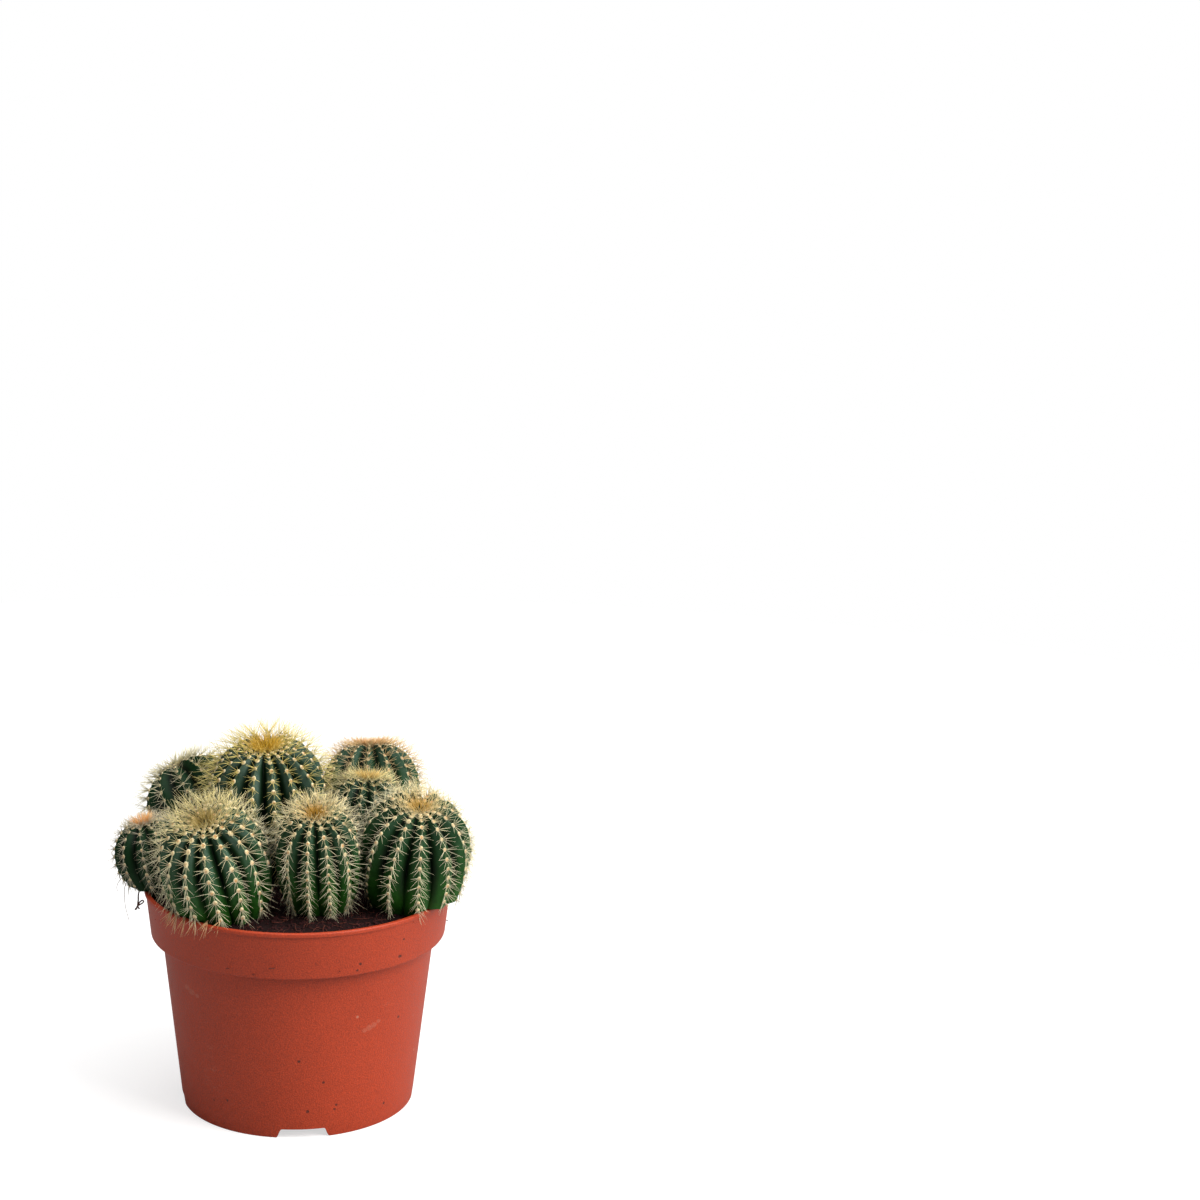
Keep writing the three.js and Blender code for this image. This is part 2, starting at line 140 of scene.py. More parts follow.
HEADS = [
    Head("front_left", (-0.0446, -0.0465, 0.15), 0.0293, 0.0315, 0.112, 2.4, (-0.2, -0.38),
         14, -4, 0.17, 0.0066, 0.017, 0.0140, 0.0096, 0.0060, STRAW, OLIVE, CREAM, 0.75, 0.95),
    Head("front_middle", (0.01, -0.0445, 0.1528), 0.0228, 0.032, 0.112, 2.1, (-0.06, -0.42),
         12, -1, 0.16, 0.0053, 0.013, 0.0112, 0.0091, 0.0050, WHEAT, OCHRE, CREAM, 0.4, 1.0),
    Head("front_right", (0.0622, -0.0335, 0.151), 0.0301, 0.0345, 0.112, 2.3, (0.06, -0.4),
         12, -11, 0.13, 0.0057, 0.011, 0.0100, 0.0088, 0.0047, WHEAT, GOLDEN, CREAM, 0.25, 0.95),
    # Its dull tints and the dark green of its lower skin are painted shade.
    Head("side_left", (-0.0806, -0.004, 0.1406), 0.0195, 0.021, 0.1155, 1.6, (-0.24, 0),
         10, -7, 0.13, 0.0046, 0.009, 0.0070, 0.0062, 0.0076, SHADE_DULLED_CREAM, APRICOT, SHADE_DULLED_CREAM, 0.05, 0.1),
    Head("back_left", (-0.0585, 0.053, 0.1544), 0.0275, 0.025, 0.112, 1.8, (-0.62, 0.45),
         12, -8, 0.12, 0.005, 0.034, 0.0112, 0.0094, 0.0060, PALE, STRAW, PALE, 0.03, 0.03),
    Head("tallest", (-0.017, 0.012, 0.172), 0.0315, 0.0315, 0.112, 2.2, (-0.06, -0.25),
         15, 1, 0.2, 0.0058, 0.035, 0.0136, 0.0112, 0.0066, YELLOW, GOLD, STRAW, 0.85, 0.15),
    Head("back_right", (0.0412, 0.0505, 0.161), 0.028, 0.028, 0.112, 2.0, (-0.04, 0.32),
         14, -4, 0.23, 0.0048, 0.028, 0.0096, 0.0092, 0.0066, RUDDY, PEACH, STRAW, 0.5, 0.5),
    # Its dull side tint is painted shade.
    Head("inner_right", (0.0368, 0.009, 0.163), 0.0182, 0.019, 0.112, 2.0, (0.05, 0.08),
         12, 1, 0.2, 0.0048, 0.013, 0.0096, 0.0066, 0.0056, STRAW, GOLDEN, SHADE_DULLED_CREAM, 0.4, 0.15),
    Head("back_middle", (-0.008, 0.058, 0.147), 0.0205, 0.022, 0.112, 2.0, (0.05, 0.38),
         12, 0, 0.18, 0.005, 0.012, 0.008, 0.007, 0.005, STRAW, TAN, CREAM, 0.5, 0.3),
    Head("side_right", (0.0793, 0.024, 0.134), 0.018, 0.0155, 0.116, 1.7, (0.3, 0.1),
         12, 0, 0.16, 0.005, 0.009, 0.006, 0.0066, 0.004, STRAW, TAN, CREAM, 0.4, 0.5),
]


# ---- Settings ----
def length(label, about, default):
    return FloatProperty(
        name=label, description=about, default=default, unit="LENGTH", precision=5
    )


def part(label, about, default):
    return FloatProperty(name=label, description=about, default=default, subtype="FACTOR")


def number(label, about, default):
    return FloatProperty(name=label, description=about, default=default)


def degrees(label, about, default):
    return FloatProperty(
        name=label, description=about, default=math.radians(default), subtype="ANGLE"
    )


def watts(label, about, default):
    return FloatProperty(name=label, description=about, default=default, unit="POWER")


def count(label, about, default):
    return IntProperty(name=label, description=about, default=default, min=0)


def colour(label, about, default):
    return FloatVectorProperty(
        name=label, description=about, default=default, size=3, subtype="COLOR"
    )


class PotSettings(bpy.types.PropertyGroup):
    """The nursery pot."""

    wall: length("Wall", "Thickness of the moulded wall", 0.0015)
    bead_height: length("Bead height", "Height of the small bead at the very top", 0.0025)
    bead_overhang: length("Bead overhang", "How far the bead stands out of the band", 0.0009)
    band_height: length("Band height", "Height of the wide band under the bead", 0.027)
    band_foot: length("Band foot radius", "Radius of the band's lower edge", 0.0813)
    body_top: length("Body top radius", "Radius of the tapered body under the band", 0.0754)
    foot: length("Foot radius", "Radius of the body where it stands", 0.0644)
    floor_level: length("Floor level", "Height of the floor's underside", 0.0055)
    notch_top: length("Notch top width", "Width of a foot notch at its top", 0.0216)
    notch_foot: length("Notch foot width", "Width of a foot notch where it opens", 0.0305)
    notch_height: length("Notch height", "Height of a foot notch", 0.0052)
    notches: count("Notches", "Number of foot notches; the first is at the front", 4)
    notch_turn: degrees("Notch turn", "How far to the right the first notch is", 2.3)
    drain_radius: length("Drain radius", "Radius of a drain hole in the floor", 0.005)
    drain_circle: length("Drain circle", "Radius of the circle of drain holes", 0.044)
    drains: count("Drains", "Number of drain holes", 6)
    plastic: colour("Plastic", "Colour of the plastic", (0.405, 0.0435, 0.012))
    dust: colour("Dust", "Colour of the dust and of the rubbed places", (0.55, 0.25, 0.17))


class SoilSettings(bpy.types.PropertyGroup):
    """The peat soil and what lies on it."""

    edge_level: length("Edge level", "Height of the soil at the pot's wall", 0.1195)
    crown_level: length("Crown level", "Height of the soil in the middle", 0.121)
    lumps: length("Lumps", "Height of the soil's lumps", 0.0013)
    heap: length("Heap", "How far the soil is heaped against the heads", 0.0012)
    crumbs: number("Crumbs", "Crumbs for each square metre of open soil", 160000)
    crumb_size: length("Crumb size", "Width of the largest crumbs", 0.0019)
    fibres: number("Fibres", "Fibres for each square metre of open soil", 52000)
    fibre_length: length("Fibre length", "Length of the longest fibres", 0.011)
    seed: count("Seed", "Which crumbs and fibres are drawn", 4)
    peat: colour("Peat", "Colour of the damp peat", (0.011, 0.0026, 0.0026))
    fibre: colour("Fibre", "Colour of the reddish fibres", (0.12, 0.034, 0.024))


class SkinSettings(bpy.types.PropertyGroup):
    """The ribbed green bodies."""

    rib_depth: part("Rib depth", "Depth of a furrow, as a part of the head's radius", 0.185)
    crest_sharpness: part("Crest sharpness", "0 for round crests, 1 for roof shaped ones", 0.34)
    bump: length("Bump", "How far the skin swells under an areole", 0.0005)
    wander: degrees("Wander", "How far a rib strays sideways", 1.3)
    row: length("Row", "Spacing of the mesh rows down a head", 0.00085)
    green: colour("Green", "Colour of the old skin", (0.003, 0.024, 0.006))
    fresh_green: colour("Fresh green", "Colour of the fresh skin", (0.022, 0.118, 0.009))
    # The bloom colour carries the waxy bloom and a painted blue-grey sheen.
    bloom_and_sheen_green: colour("Bloom", "Colour of the waxy bloom", (0.125, 0.185, 0.16))
    # The furrow colour is painted shade, laid deep in the narrow upper furrows.
    painted_furrow_shade: colour("Furrow", "Colour deep in a furrow", (0.001, 0.005, 0.001))


class SpineSettings(bpy.types.PropertyGroup):
    """The areoles and their spines."""

    per_areole: count("Spines", "Spines on an areole", 10)
    central: count("Central spines", "How many of them stand out from the middle", 2)
    thickness: length("Thickness", "Thickness of a spine at its root", 0.00034)
    pad: length("Areole", "Width of a felt pad", 0.0024)
    crown_spacing: part("Crown spacing", "Areole spacing at the crown, as a part", 0.5)
    seed: count("Seed", "Which spines are drawn", 11)
    felt: colour("Felt", "Colour of the felt", (0.84, 0.72, 0.44))
    felt_heart: colour("Felt middle", "Colour of the felt's middle", (0.82, 0.43, 0.17))


class StudioSettings(bpy.types.PropertyGroup):
    """The floor, the lights and the camera."""

    floor_radius: length("Floor radius", "Radius of the pale floor", 1.3)
    lens: FloatProperty(name="Lens", description="Focal length", default=77, unit="CAMERA")
    key: watts("Key", "Power of the soft key light", 45)
    fill: watts("Fill", "Power of the soft fill light", 6)
    overhead: watts("Overhead", "Power of the wide overhead light", 130)
    sky: number("Sky", "Brightness of the surroundings on the object", 0.06)
    backdrop: number("Backdrop", "Brightness of the surroundings in view", 1.0)


class CactusSettings(bpy.types.PropertyGroup):
    """All the settings of the potted cactus."""

    pot: PointerProperty(type=PotSettings)
    soil: PointerProperty(type=SoilSettings)
    skin: PointerProperty(type=SkinSettings)
    spines: PointerProperty(type=SpineSettings)
    studio: PointerProperty(type=StudioSettings)


def settings():
    """The sizes and colours that a user can change."""
    return bpy.context.scene.potted_cactus


# ---- Meshes ----
def unit(vector):
    """Vectors of length 1; one without a length stays as it is."""
    vector = np.asarray(vector, dtype=float)
    return vector / np.maximum(np.linalg.norm(vector, axis=-1, keepdims=True), 1e-12)


def smooth(value, low, high):
    """0 below low, 1 above high, eased between them."""
    share = np.clip((value - low) / (high - low), 0, 1)
    return share * share * (3 - 2 * share)


def new_object(name, points, faces):
    mesh = bpy.data.meshes.new(name)
    mesh.from_pydata([tuple(point) for point in points], [], faces)
    mesh.update()
    made = bpy.data.objects.new(name, mesh)
    bpy.context.scene.collection.objects.link(made)
    return made


def shade_smooth(made):
    made.data.polygons.foreach_set("use_smooth", [True] * len(made.data.polygons))
    made.data.update()


def store(made, name, values):
    """Keeps a number, or a vector, for each of a mesh's points."""
    values = np.asarray(values, dtype=np.float32)
    is_vector = values.ndim == 2
    kind, key = ("FLOAT_VECTOR", "vector") if is_vector else ("FLOAT", "value")
    made.data.attributes.new(name, kind, "POINT").data.foreach_set(key, values.ravel())


def reworked(made, work):
    """Hands an object's mesh to work for editing, then keeps the result."""
    mesh = bmesh.new()
    mesh.from_mesh(made.data)
    work(mesh)
    mesh.to_mesh(made.data)
    mesh.free()


def face_outwards(mesh):
    bmesh.ops.recalc_face_normals(mesh, faces=mesh.faces)


def ring_faces(rows, columns, first=0):
    """Faces of a grid whose rows are closed rings, wound to face outwards from top to bottom."""
    faces = []
    for row in range(rows - 1):
        for column in range(columns):
            following = (column + 1) % columns
            a = first + row * columns
            b = a + columns
            faces.append((a + column, b + column, b + following, a + following))
    return faces


def fan(pole, ring):
    """Triangles from a pole to each side of a ring."""
    return [(pole, ring[i], ring[(i + 1) % len(ring)]) for i in range(len(ring))]


def finish_piece(made, slot, *nodes):
    """Parents a piece to the one body, so that it rides on it, and hides any solids it replaces."""
    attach(made, "root")
    if nodes:
        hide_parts(*nodes)


# ---- Node trees ----
def socket_of(sockets, key):
    """A usable socket by its name, or any socket by its number."""
    if isinstance(key, int):
        return sockets[key]
    return next(s for s in sockets if s.name == key and s.enabled)


def feed(tree, node, inputs):
    """Sets a node's inputs, or links them to sockets and to other nodes' first outputs."""
    for key, value in inputs.items():
        socket = socket_of(node.inputs, key)
        if isinstance(value, bpy.types.Node):
            value = next(s for s in value.outputs if s.enabled)
        if isinstance(value, bpy.types.NodeSocket):
            tree.links.new(value, socket)
        else:
            socket.default_value = value


def place(tree, kind, inputs=None, **options):
    """Adds a node, sets its options and then its inputs."""
    node = tree.nodes.new(kind)
    for option, value in options.items():
        setattr(node, option, value)
    feed(tree, node, inputs or {})
    return node


def maths(tree, operation, *values):
    return place(tree, "ShaderNodeMath", dict(enumerate(values)), operation=operation)


def product(tree, first, *others):
    """Multiplies two values or more."""
    for other in others:
        first = maths(tree, "MULTIPLY", first, other)
    return first


def vectors(tree, operation, *values):
    return place(tree, "ShaderNodeVectorMath", dict(enumerate(values)), operation=operation)


def scaled(tree, vector, factor):
    return place(tree, "ShaderNodeVectorMath", {0: vector, "Scale": factor}, operation="SCALE")


def blended(tree, factor, a, b, kind="FLOAT"):
    return place(tree, "ShaderNodeMix", {"Factor": factor, "A": a, "B": b}, data_type=kind)


def combined(tree, **parts):
    return place(tree, "ShaderNodeCombineXYZ", parts)


def ramped(tree, value, low, high, to_low=0.0, to_high=1.0):
    return place(
        tree, "ShaderNodeMapRange",
        {"Value": value, "From Min": low, "From Max": high, "To Min": to_low, "To Max": to_high},
        interpolation_type="SMOOTHSTEP",
    )


FLOAT, COLOUR = "NodeSocketFloat", "NodeSocketColor"
GEOMETRY = ("Geometry", "NodeSocketGeometry")


def new_tree(name, kind, inputs, outputs):
    """A node group with named sockets, and the sockets that bring its inputs in.

    An input is given as (name, type, default) and an output as (name, type).
    """
    tree = bpy.data.node_groups.new(name, kind)
    for label, socket_type, *default in inputs:
        socket = tree.interface.new_socket(label, in_out="INPUT", socket_type=socket_type)
        if default:
            socket.default_value = default[0]
    for label, socket_type in outputs:
        tree.interface.new_socket(label, in_out="OUTPUT", socket_type=socket_type)
    return tree, tree.nodes.new("NodeGroupInput").outputs


def growing_tree(name, inputs):
    """A geometry tree that takes a mesh, the given inputs and a seed."""
    seed = ("Seed", "NodeSocketInt", 0)
    return new_tree(name, "GeometryNodeTree", [GEOMETRY, *inputs, seed], [GEOMETRY])


def grow(made, tree, inputs):
    """Runs a geometry tree on an object and keeps the result as its plain mesh."""
    modifier = made.modifiers.new(tree.name, "NODES")
    modifier.node_group = tree
    sockets = {
        item.name: item.identifier
        for item in tree.interface.items_tree
        if item.item_type == "SOCKET" and item.in_out == "INPUT"
    }
    for name, value in inputs.items():
        modifier[sockets[name]] = value
    depsgraph = bpy.context.evaluated_depsgraph_get()
    grown = bpy.data.meshes.new_from_object(
        made.evaluated_get(depsgraph), preserve_all_data_layers=True, depsgraph=depsgraph
    )
    made.modifiers.clear()
    made.data = grown
    if not grown.polygons:
        raise RuntimeError(f"{made.name} came out empty")


def end_tree(tree, geometry, material):
    """Ends a geometry tree: real geometry, smooth, with its material."""
    real = place(tree, "GeometryNodeRealizeInstances", {"Geometry": geometry})
    eased = place(tree, "GeometryNodeSetShadeSmooth", {"Geometry": real})
    dressed = place(
        tree, "GeometryNodeSetMaterial", {"Geometry": eased, "Material": material}
    )
    place(tree, "NodeGroupOutput", {"Geometry": dressed})
    return tree


def kept(tree, name, kind="FLOAT"):
    """Reads one of the values kept on the points."""
    return place(tree, "GeometryNodeInputNamedAttribute", {"Name": name}, data_type=kind)


def drawn(tree, low, high, seed, offset, kind="FLOAT"):
    """A random value for each element; offset keeps the draws apart."""
    own_seed = maths(tree, "ADD", seed, offset)
    return place(
        tree, "FunctionNodeRandomValue", {"Min": low, "Max": high, "Seed": own_seed},
        data_type=kind,
    )


def drawn_way(tree, seed, offset):
    """A random vector for each element."""
    return drawn(tree, (-1, -1, -1), (1, 1, 1), seed, offset, "FLOAT_VECTOR")


def instances(tree, points, shape, along, across, scale, selection=True):
    """Sets a shape on each point, with its Z axis along one way and its X axis towards another."""
    facing = place(
        tree, "FunctionNodeAxesToRotation", {0: along, 1: across},
        primary_axis="Z", secondary_axis="X",
    )
    return place(
        tree, "GeometryNodeInstanceOnPoints",
        {"Points": points, "Selection": selection, "Instance": shape, "Rotation": facing,
         "Scale": scale},
    )


def noted(tree, geometry, name, value, domain="POINT"):
    """Keeps a value as an attribute, which the materials read."""
    return place(
        tree, "GeometryNodeStoreNamedAttribute",
        {"Geometry": geometry, "Name": name, "Value": value}, domain=domain,
    )


# ---- Effects that several materials use ----
def object_place(tree):
    """Where a point of the surface is on the object."""
    return place(tree, "ShaderNodeTexCoord").outputs["Object"]


def clouds(tree, where, scale, detail, roughness=0.5):
    """Soft noise between 0 and 1."""
    return place(
        tree, "ShaderNodeTexNoise",
        {"Vector": where, "Scale": scale, "Detail": detail, "Roughness": roughness},
    ).outputs["Fac"]


@cache
def mottle_group():
    """Colour that varies softly in patches and finely in grains."""
    tree, inputs = new_tree(
        "mottle", "ShaderNodeTree",
        [
            ("Colour", COLOUR, (0.5, 0.5, 0.5, 1)),
            ("Patch Scale", FLOAT, 40.0),
            ("Grain Scale", FLOAT, 900.0),
            ("Patches", FLOAT, 0.15),
            ("Grains", FLOAT, 0.1),
        ],
        [("Colour", COLOUR), ("Grain", FLOAT)],
    )
    where = object_place(tree)
    patch = clouds(tree, where, inputs["Patch Scale"], 3.0)
    grain = clouds(tree, where, inputs["Grain Scale"], 2.0)
    patch_swing = maths(tree, "MULTIPLY_ADD", patch, 2.0, -1.0)
    grain_swing = maths(tree, "MULTIPLY_ADD", grain, 2.0, -1.0)
    patch_part = product(tree, patch_swing, inputs["Patches"])
    brightness = maths(
        tree, "MULTIPLY_ADD", grain_swing, inputs["Grains"], maths(tree, "ADD", patch_part, 1.0)
    )
    coloured = scaled(tree, inputs["Colour"], brightness)
    place(tree, "NodeGroupOutput", {"Colour": coloured, "Grain": grain})
    return tree


def mottled(tree, tint, patch_scale, grain_scale, patches, grains):
    return place(
        tree, "ShaderNodeGroup",
        {"Colour": tint, "Patch Scale": patch_scale, "Grain Scale": grain_scale,
         "Patches": patches, "Grains": grains},
        node_tree=mottle_group(),
    )


@cache
def speck_group():
    """A mask of small scattered specks."""
    tree, inputs = new_tree(
        "specks", "ShaderNodeTree",
        [("Scale", FLOAT, 300.0), ("Size", FLOAT, 0.12), ("Share", FLOAT, 0.2)],
        [("Mask", FLOAT)],
    )
    cells = place(
        tree, "ShaderNodeTexVoronoi", {"Vector": object_place(tree), "Scale": inputs["Scale"]}
    )
    cell_colour = place(tree, "ShaderNodeSeparateColor", {"Color": cells.outputs["Color"]})
    is_chosen = maths(tree, "LESS_THAN", cell_colour.outputs["Red"], inputs["Share"])
    own_size = product(tree, cell_colour.outputs["Green"], inputs["Size"])
    is_near = maths(tree, "LESS_THAN", cells.outputs["Distance"], own_size)
    place(tree, "NodeGroupOutput", {"Mask": product(tree, is_chosen, is_near)})
    return tree


def specks(tree, scale, size, share):
    return place(
        tree, "ShaderNodeGroup", {"Scale": scale, "Size": size, "Share": share},
        node_tree=speck_group(),
    )


def marks_on_front(tree, where, marks):
    """A mask of single ragged marks: each has a place across, a height and a radius."""
    apart = place(tree, "ShaderNodeSeparateXYZ", {"Vector": where})
    found = 0.0
    for across, height, radius in marks:
        sideways = maths(tree, "SUBTRACT", apart.outputs["X"], across)
        upwards = maths(tree, "SUBTRACT", apart.outputs["Z"], height)
        square = maths(
            tree, "MULTIPLY_ADD", upwards, upwards, product(tree, sideways, sideways)
        )
        inside = ramped(tree, square, 0.2 * radius**2, radius**2, 1.0, 0.0)
        found = maths(tree, "MAXIMUM", found, inside)
    is_front = maths(tree, "LESS_THAN", apart.outputs["Y"], 0.0)
    ragged = ramped(tree, clouds(tree, where, 1100.0, 2.0), 0.3, 0.5, 0.2, 1.0)
    return product(tree, found, is_front, ragged)


def rgb(tint):
    return (*tint, 1.0)


def new_material(name, **principled):
    """A material and its Principled BSDF, with that shader's constant inputs set."""
    material = bpy.data.materials.new(name)
    material.use_nodes = True
    shader = material.node_tree.nodes["Principled BSDF"]
    for key, value in principled.items():
        shader.inputs[key.replace("_", " ").title().replace("Ior", "IOR")].default_value = value
    return material, material.node_tree, shader


def bumped(tree, height, distance):
    return place(tree, "ShaderNodeBump", {"Height": height, "Distance": distance})


def attribute(tree, name, output="Fac"):
    """Reads one of the values kept on the mesh."""
    return place(tree, "ShaderNodeAttribute", attribute_name=name).outputs[output]


# ---- Materials: each is made once ----
# Dark specks and pale rubs on the front of the pot: place across, height and radius.
SPECKS = [(0.005, 0.016, 0.0012), (0.0205, 0.0185, 0.0009), (0.0195, 0.0160, 0.0009),
          (0.0135, 0.033, 0.0010), (0.0325, 0.1035, 0.0010), (0.0310, 0.1, 0.0009),
          (0.054, 0.1025, 0.0012), (0.056, 0.112, 0.0008)]
RUBS = [(0.038, 0.0615, 0.0022), (0.0405, 0.0625, 0.0020), (0.043, 0.064, 0.0014),
        (0.0355, 0.0605, 0.0017), (-0.060, 0.079, 0.0018), (-0.0575, 0.0775, 0.0022),
        (-0.0545, 0.0765, 0.0016)]
DIRT = (0.03, 0.012, 0.008)
CREST_GREEN = (0.16, 0.21, 0.11)
CRUMB_BROWN = (0.032, 0.0075, 0.0075)
STALK_BROWN = (0.10, 0.038, 0.028)
HAIR_GREY = (0.55, 0.5, 0.46)


@cache
def pot_plastic():
    look = settings().pot
    material, tree, shader = new_material("terracotta plastic", specular_ior_level=0.36)
    where = object_place(tree)
    body = mottled(tree, rgb(look.plastic), 22.0, 1400.0, 0.10, 0.6)
    # The wall is rubbed pale in thin scuffs, and only in some places.
    stretched = place(
        tree, "ShaderNodeMapping",
        {"Vector": where, "Rotation": (0, 0.4, 0), "Scale": (0.45, 0.45, 1.5)},
    )
    streaks = ramped(tree, clouds(tree, stretched, 150.0, 4.0, 0.7), 0.56, 0.76)
    patches = ramped(tree, clouds(tree, where, 30.0, 5.0), 0.58, 0.72, 0.0, 0.4)
    painted = body.outputs["Colour"]
    for mask, strength, tint in (
        (product(tree, streaks, patches), 1.0, look.dust),
        (specks(tree, 95.0, 0.13, 0.05), 0.5, look.dust),
        (specks(tree, 130.0, 0.11, 0.12), 0.8, DIRT),
        (marks_on_front(tree, where, RUBS), 0.2, look.dust),
        (marks_on_front(tree, where, SPECKS), 0.85, DIRT),
    ):
        painted = blended(tree, product(tree, mask, strength), painted, rgb(tint), "RGBA")
    feed(tree, shader, {
        "Base Color": painted,
        "Roughness": ramped(tree, body.outputs["Grain"], 0.3, 0.7, 0.44, 0.56),
        "Normal": bumped(tree, body.outputs["Grain"], 0.00014),
    })
    return material


@cache
def soil_peat(name, base, grains):
    material, tree, shader = new_material(name, roughness=0.95, specular_ior_level=0.2)
    body = mottled(tree, rgb(base), 120.0, 1300.0, 0.6, grains)
    feed(tree, shader, {
        "Base Color": body.outputs["Colour"],
        "Normal": bumped(tree, body.outputs["Grain"], 0.0005),
    })
    return material


@cache
def cactus_skin():
    look = settings().skin
    material, tree, shader = new_material("cactus skin", specular_ior_level=0.1)
    furrow, rise, bloom_and_sheen, fresh = (
        attribute(tree, name) for name in ("furrow", "rise", "bloom_and_sheen", "fresh")
    )
    patches = clouds(tree, object_place(tree), 75.0, 4.0, 0.6)

    low = ramped(tree, rise, 0.3, 0.85, 1.0, 0.12)
    fresh_part = product(tree, fresh, low, ramped(tree, patches, 0.25, 0.7, 0.6, 1.0))
    green = blended(tree, fresh_part, rgb(look.green), rgb(look.fresh_green), "RGBA")

    # The waxy bloom and its painted sheen are strongest high on a head and half way up a rib's
    # flank.
    flank = ramped(tree, furrow, 0.0, 0.42, 0.75, 1.0)
    hollow = ramped(tree, furrow, 0.4, 0.8, 1.0, 0.0)
    bloom_and_sheen_part = product(
        tree, flank, hollow, ramped(tree, rise, 0.35, 0.9, 0.03, 0.6), bloom_and_sheen,
        ramped(tree, patches, 0.3, 0.65, 0.35, 1.0),
    )
    waxy = blended(tree, bloom_and_sheen_part, green, rgb(look.bloom_and_sheen_green), "RGBA")

    crest = ramped(tree, furrow, 0.0, 0.14, 0.3, 0.0)
    lined = blended(tree, crest, waxy, rgb(CREST_GREEN), "RGBA")
    # Painted shade: the narrow upper furrows are darkened deep down, where shade falls.
    depth = product(
        tree, ramped(tree, furrow, 0.4, 0.92), ramped(tree, rise, 0.3, 0.62, 0.2, 0.98)
    )
    deep = blended(tree, depth, lined, rgb(look.painted_furrow_shade), "RGBA")
    body = mottled(tree, deep, 260.0, 2100.0, 0.35, 0.35)
    feed(tree, shader, {
        "Base Color": body.outputs["Colour"],
        "Roughness": ramped(tree, patches, 0.3, 0.7, 0.40, 0.56),
        "Normal": bumped(tree, body.outputs["Grain"], 0.00008),
    })
    return material


@cache
def cactus_spine():
    """Spines: each has its own tint and shade, and a darker root."""
    material, tree, shader = new_material(
        "cactus spine", roughness=0.42, specular_ior_level=0.45
    )
    lit = scaled(tree, attribute(tree, "tint", "Color"), attribute(tree, "shade"))
    root = ramped(tree, attribute(tree, "along"), 0.0, 0.4, 0.6, 1.0)
    feed(tree, shader, {"Base Color": scaled(tree, lit, root)})
    return material


@cache
def areole_felt():
    """Felt pads: pale, with a warmer middle that differs from pad to pad."""
    look = settings().spines
    material, tree, shader = new_material(
        "areole felt", roughness=0.95, specular_ior_level=0.15, sheen_weight=0.3
    )
    heart = product(
        tree, ramped(tree, attribute(tree, "middle"), 0.3, 0.85), attribute(tree, "shade")
    )
    felt = blended(tree, heart, rgb(look.felt), rgb(look.felt_heart), "RGBA")
    body = mottled(tree, felt, 900.0, 3600.0, 0.3, 0.4)
    feed(tree, shader, {
        "Base Color": body.outputs["Colour"],
        "Normal": bumped(tree, body.outputs["Grain"], 0.0003),
    })
    return material


# ---- The pot ----
EVEN_STEPS = 192  # of the lathe, round the pot
SIDE_STEPS = 14  # finer ones at each side of a notch
SIDE_MARGIN = 0.0006  # how far they go past that side
LEAST_STEP = 0.0012  # the smallest angle between two steps, in radians


def rounded_corners(profile, steps=4):
    """A closed profile of (radius, height, fillet), with each fillet as a row of points."""
    points = []
    for i, (radius, height, fillet) in enumerate(profile):
        corner = Vector((radius, height))
        if not fillet:
            points.append(corner)
            continue
        before = Vector(profile[i - 1][:2]) - corner
        after = Vector(profile[(i + 1) % len(profile)][:2]) - corner
        start = corner + before.normalized() * fillet
        end = corner + after.normalized() * fillet
        for step in range(steps + 1):
            t = step / steps
            points.append(start * (1 - t) ** 2 + corner * 2 * t * (1 - t) + end * t * t)
    return points


def body_slope():
    """How far the tapered body widens for each unit of height."""
    pot = settings().pot
    return (pot.body_top - pot.foot) / (POT_HEIGHT - pot.band_height)


def band_radius():
    """Radius of the band's upper edge, under the bead."""
    return RIM_RADIUS - settings().pot.bead_overhang


def pot_profile():
    """The wall's section, anticlockwise: floor, foot, body, band, bead and back down inside."""
    pot = settings().pot
    band_foot = POT_HEIGHT - pot.band_height
    band_top = band_radius()
    bead_foot = POT_HEIGHT - pot.bead_height
    shelf = band_foot + pot.wall
    floor_top = pot.floor_level + pot.wall
    slope = body_slope()
    inside = pot.foot - pot.wall
    return [
        (0, pot.floor_level, 0),
        (inside, pot.floor_level, 0.0003),
        (inside, 0, 0.0003),
        (pot.foot, 0, 0.0004),
        *((pot.foot + slope * height, height, 0) for height in (0.008, 0.012, 0.05)),
        (pot.body_top, band_foot, 0.0014),
        (pot.band_foot, band_foot, 0.0011),
        (band_top, bead_foot, 0.0002),
        (RIM_RADIUS, bead_foot + 0.0001, 0.0005),
        (RIM_RADIUS, POT_HEIGHT, 0.0009),
        (band_top - pot.wall, POT_HEIGHT, 0.0005),
        (pot.band_foot - pot.wall, shelf, 0.0012),
        (pot.body_top - pot.wall, shelf, 0.0012),
        (inside + slope * floor_top, floor_top, 0.002),
        (0, floor_top, 0),
    ]


def notch_rise(arc):
    """Height of the foot's lower edge at a distance along it from the middle of a notch.

    Its flaring sides are eased twice, which rounds their corners.
    """
    pot = settings().pot
    top, foot = pot.notch_top / 2, pot.notch_foot / 2
    return pot.notch_height * smooth(smooth(foot - abs(arc), 0, foot - top), 0, 1)


def first_notch():
    """The angle at which the middle of the first notch stands."""
    return settings().pot.notch_turn - TAU / 4


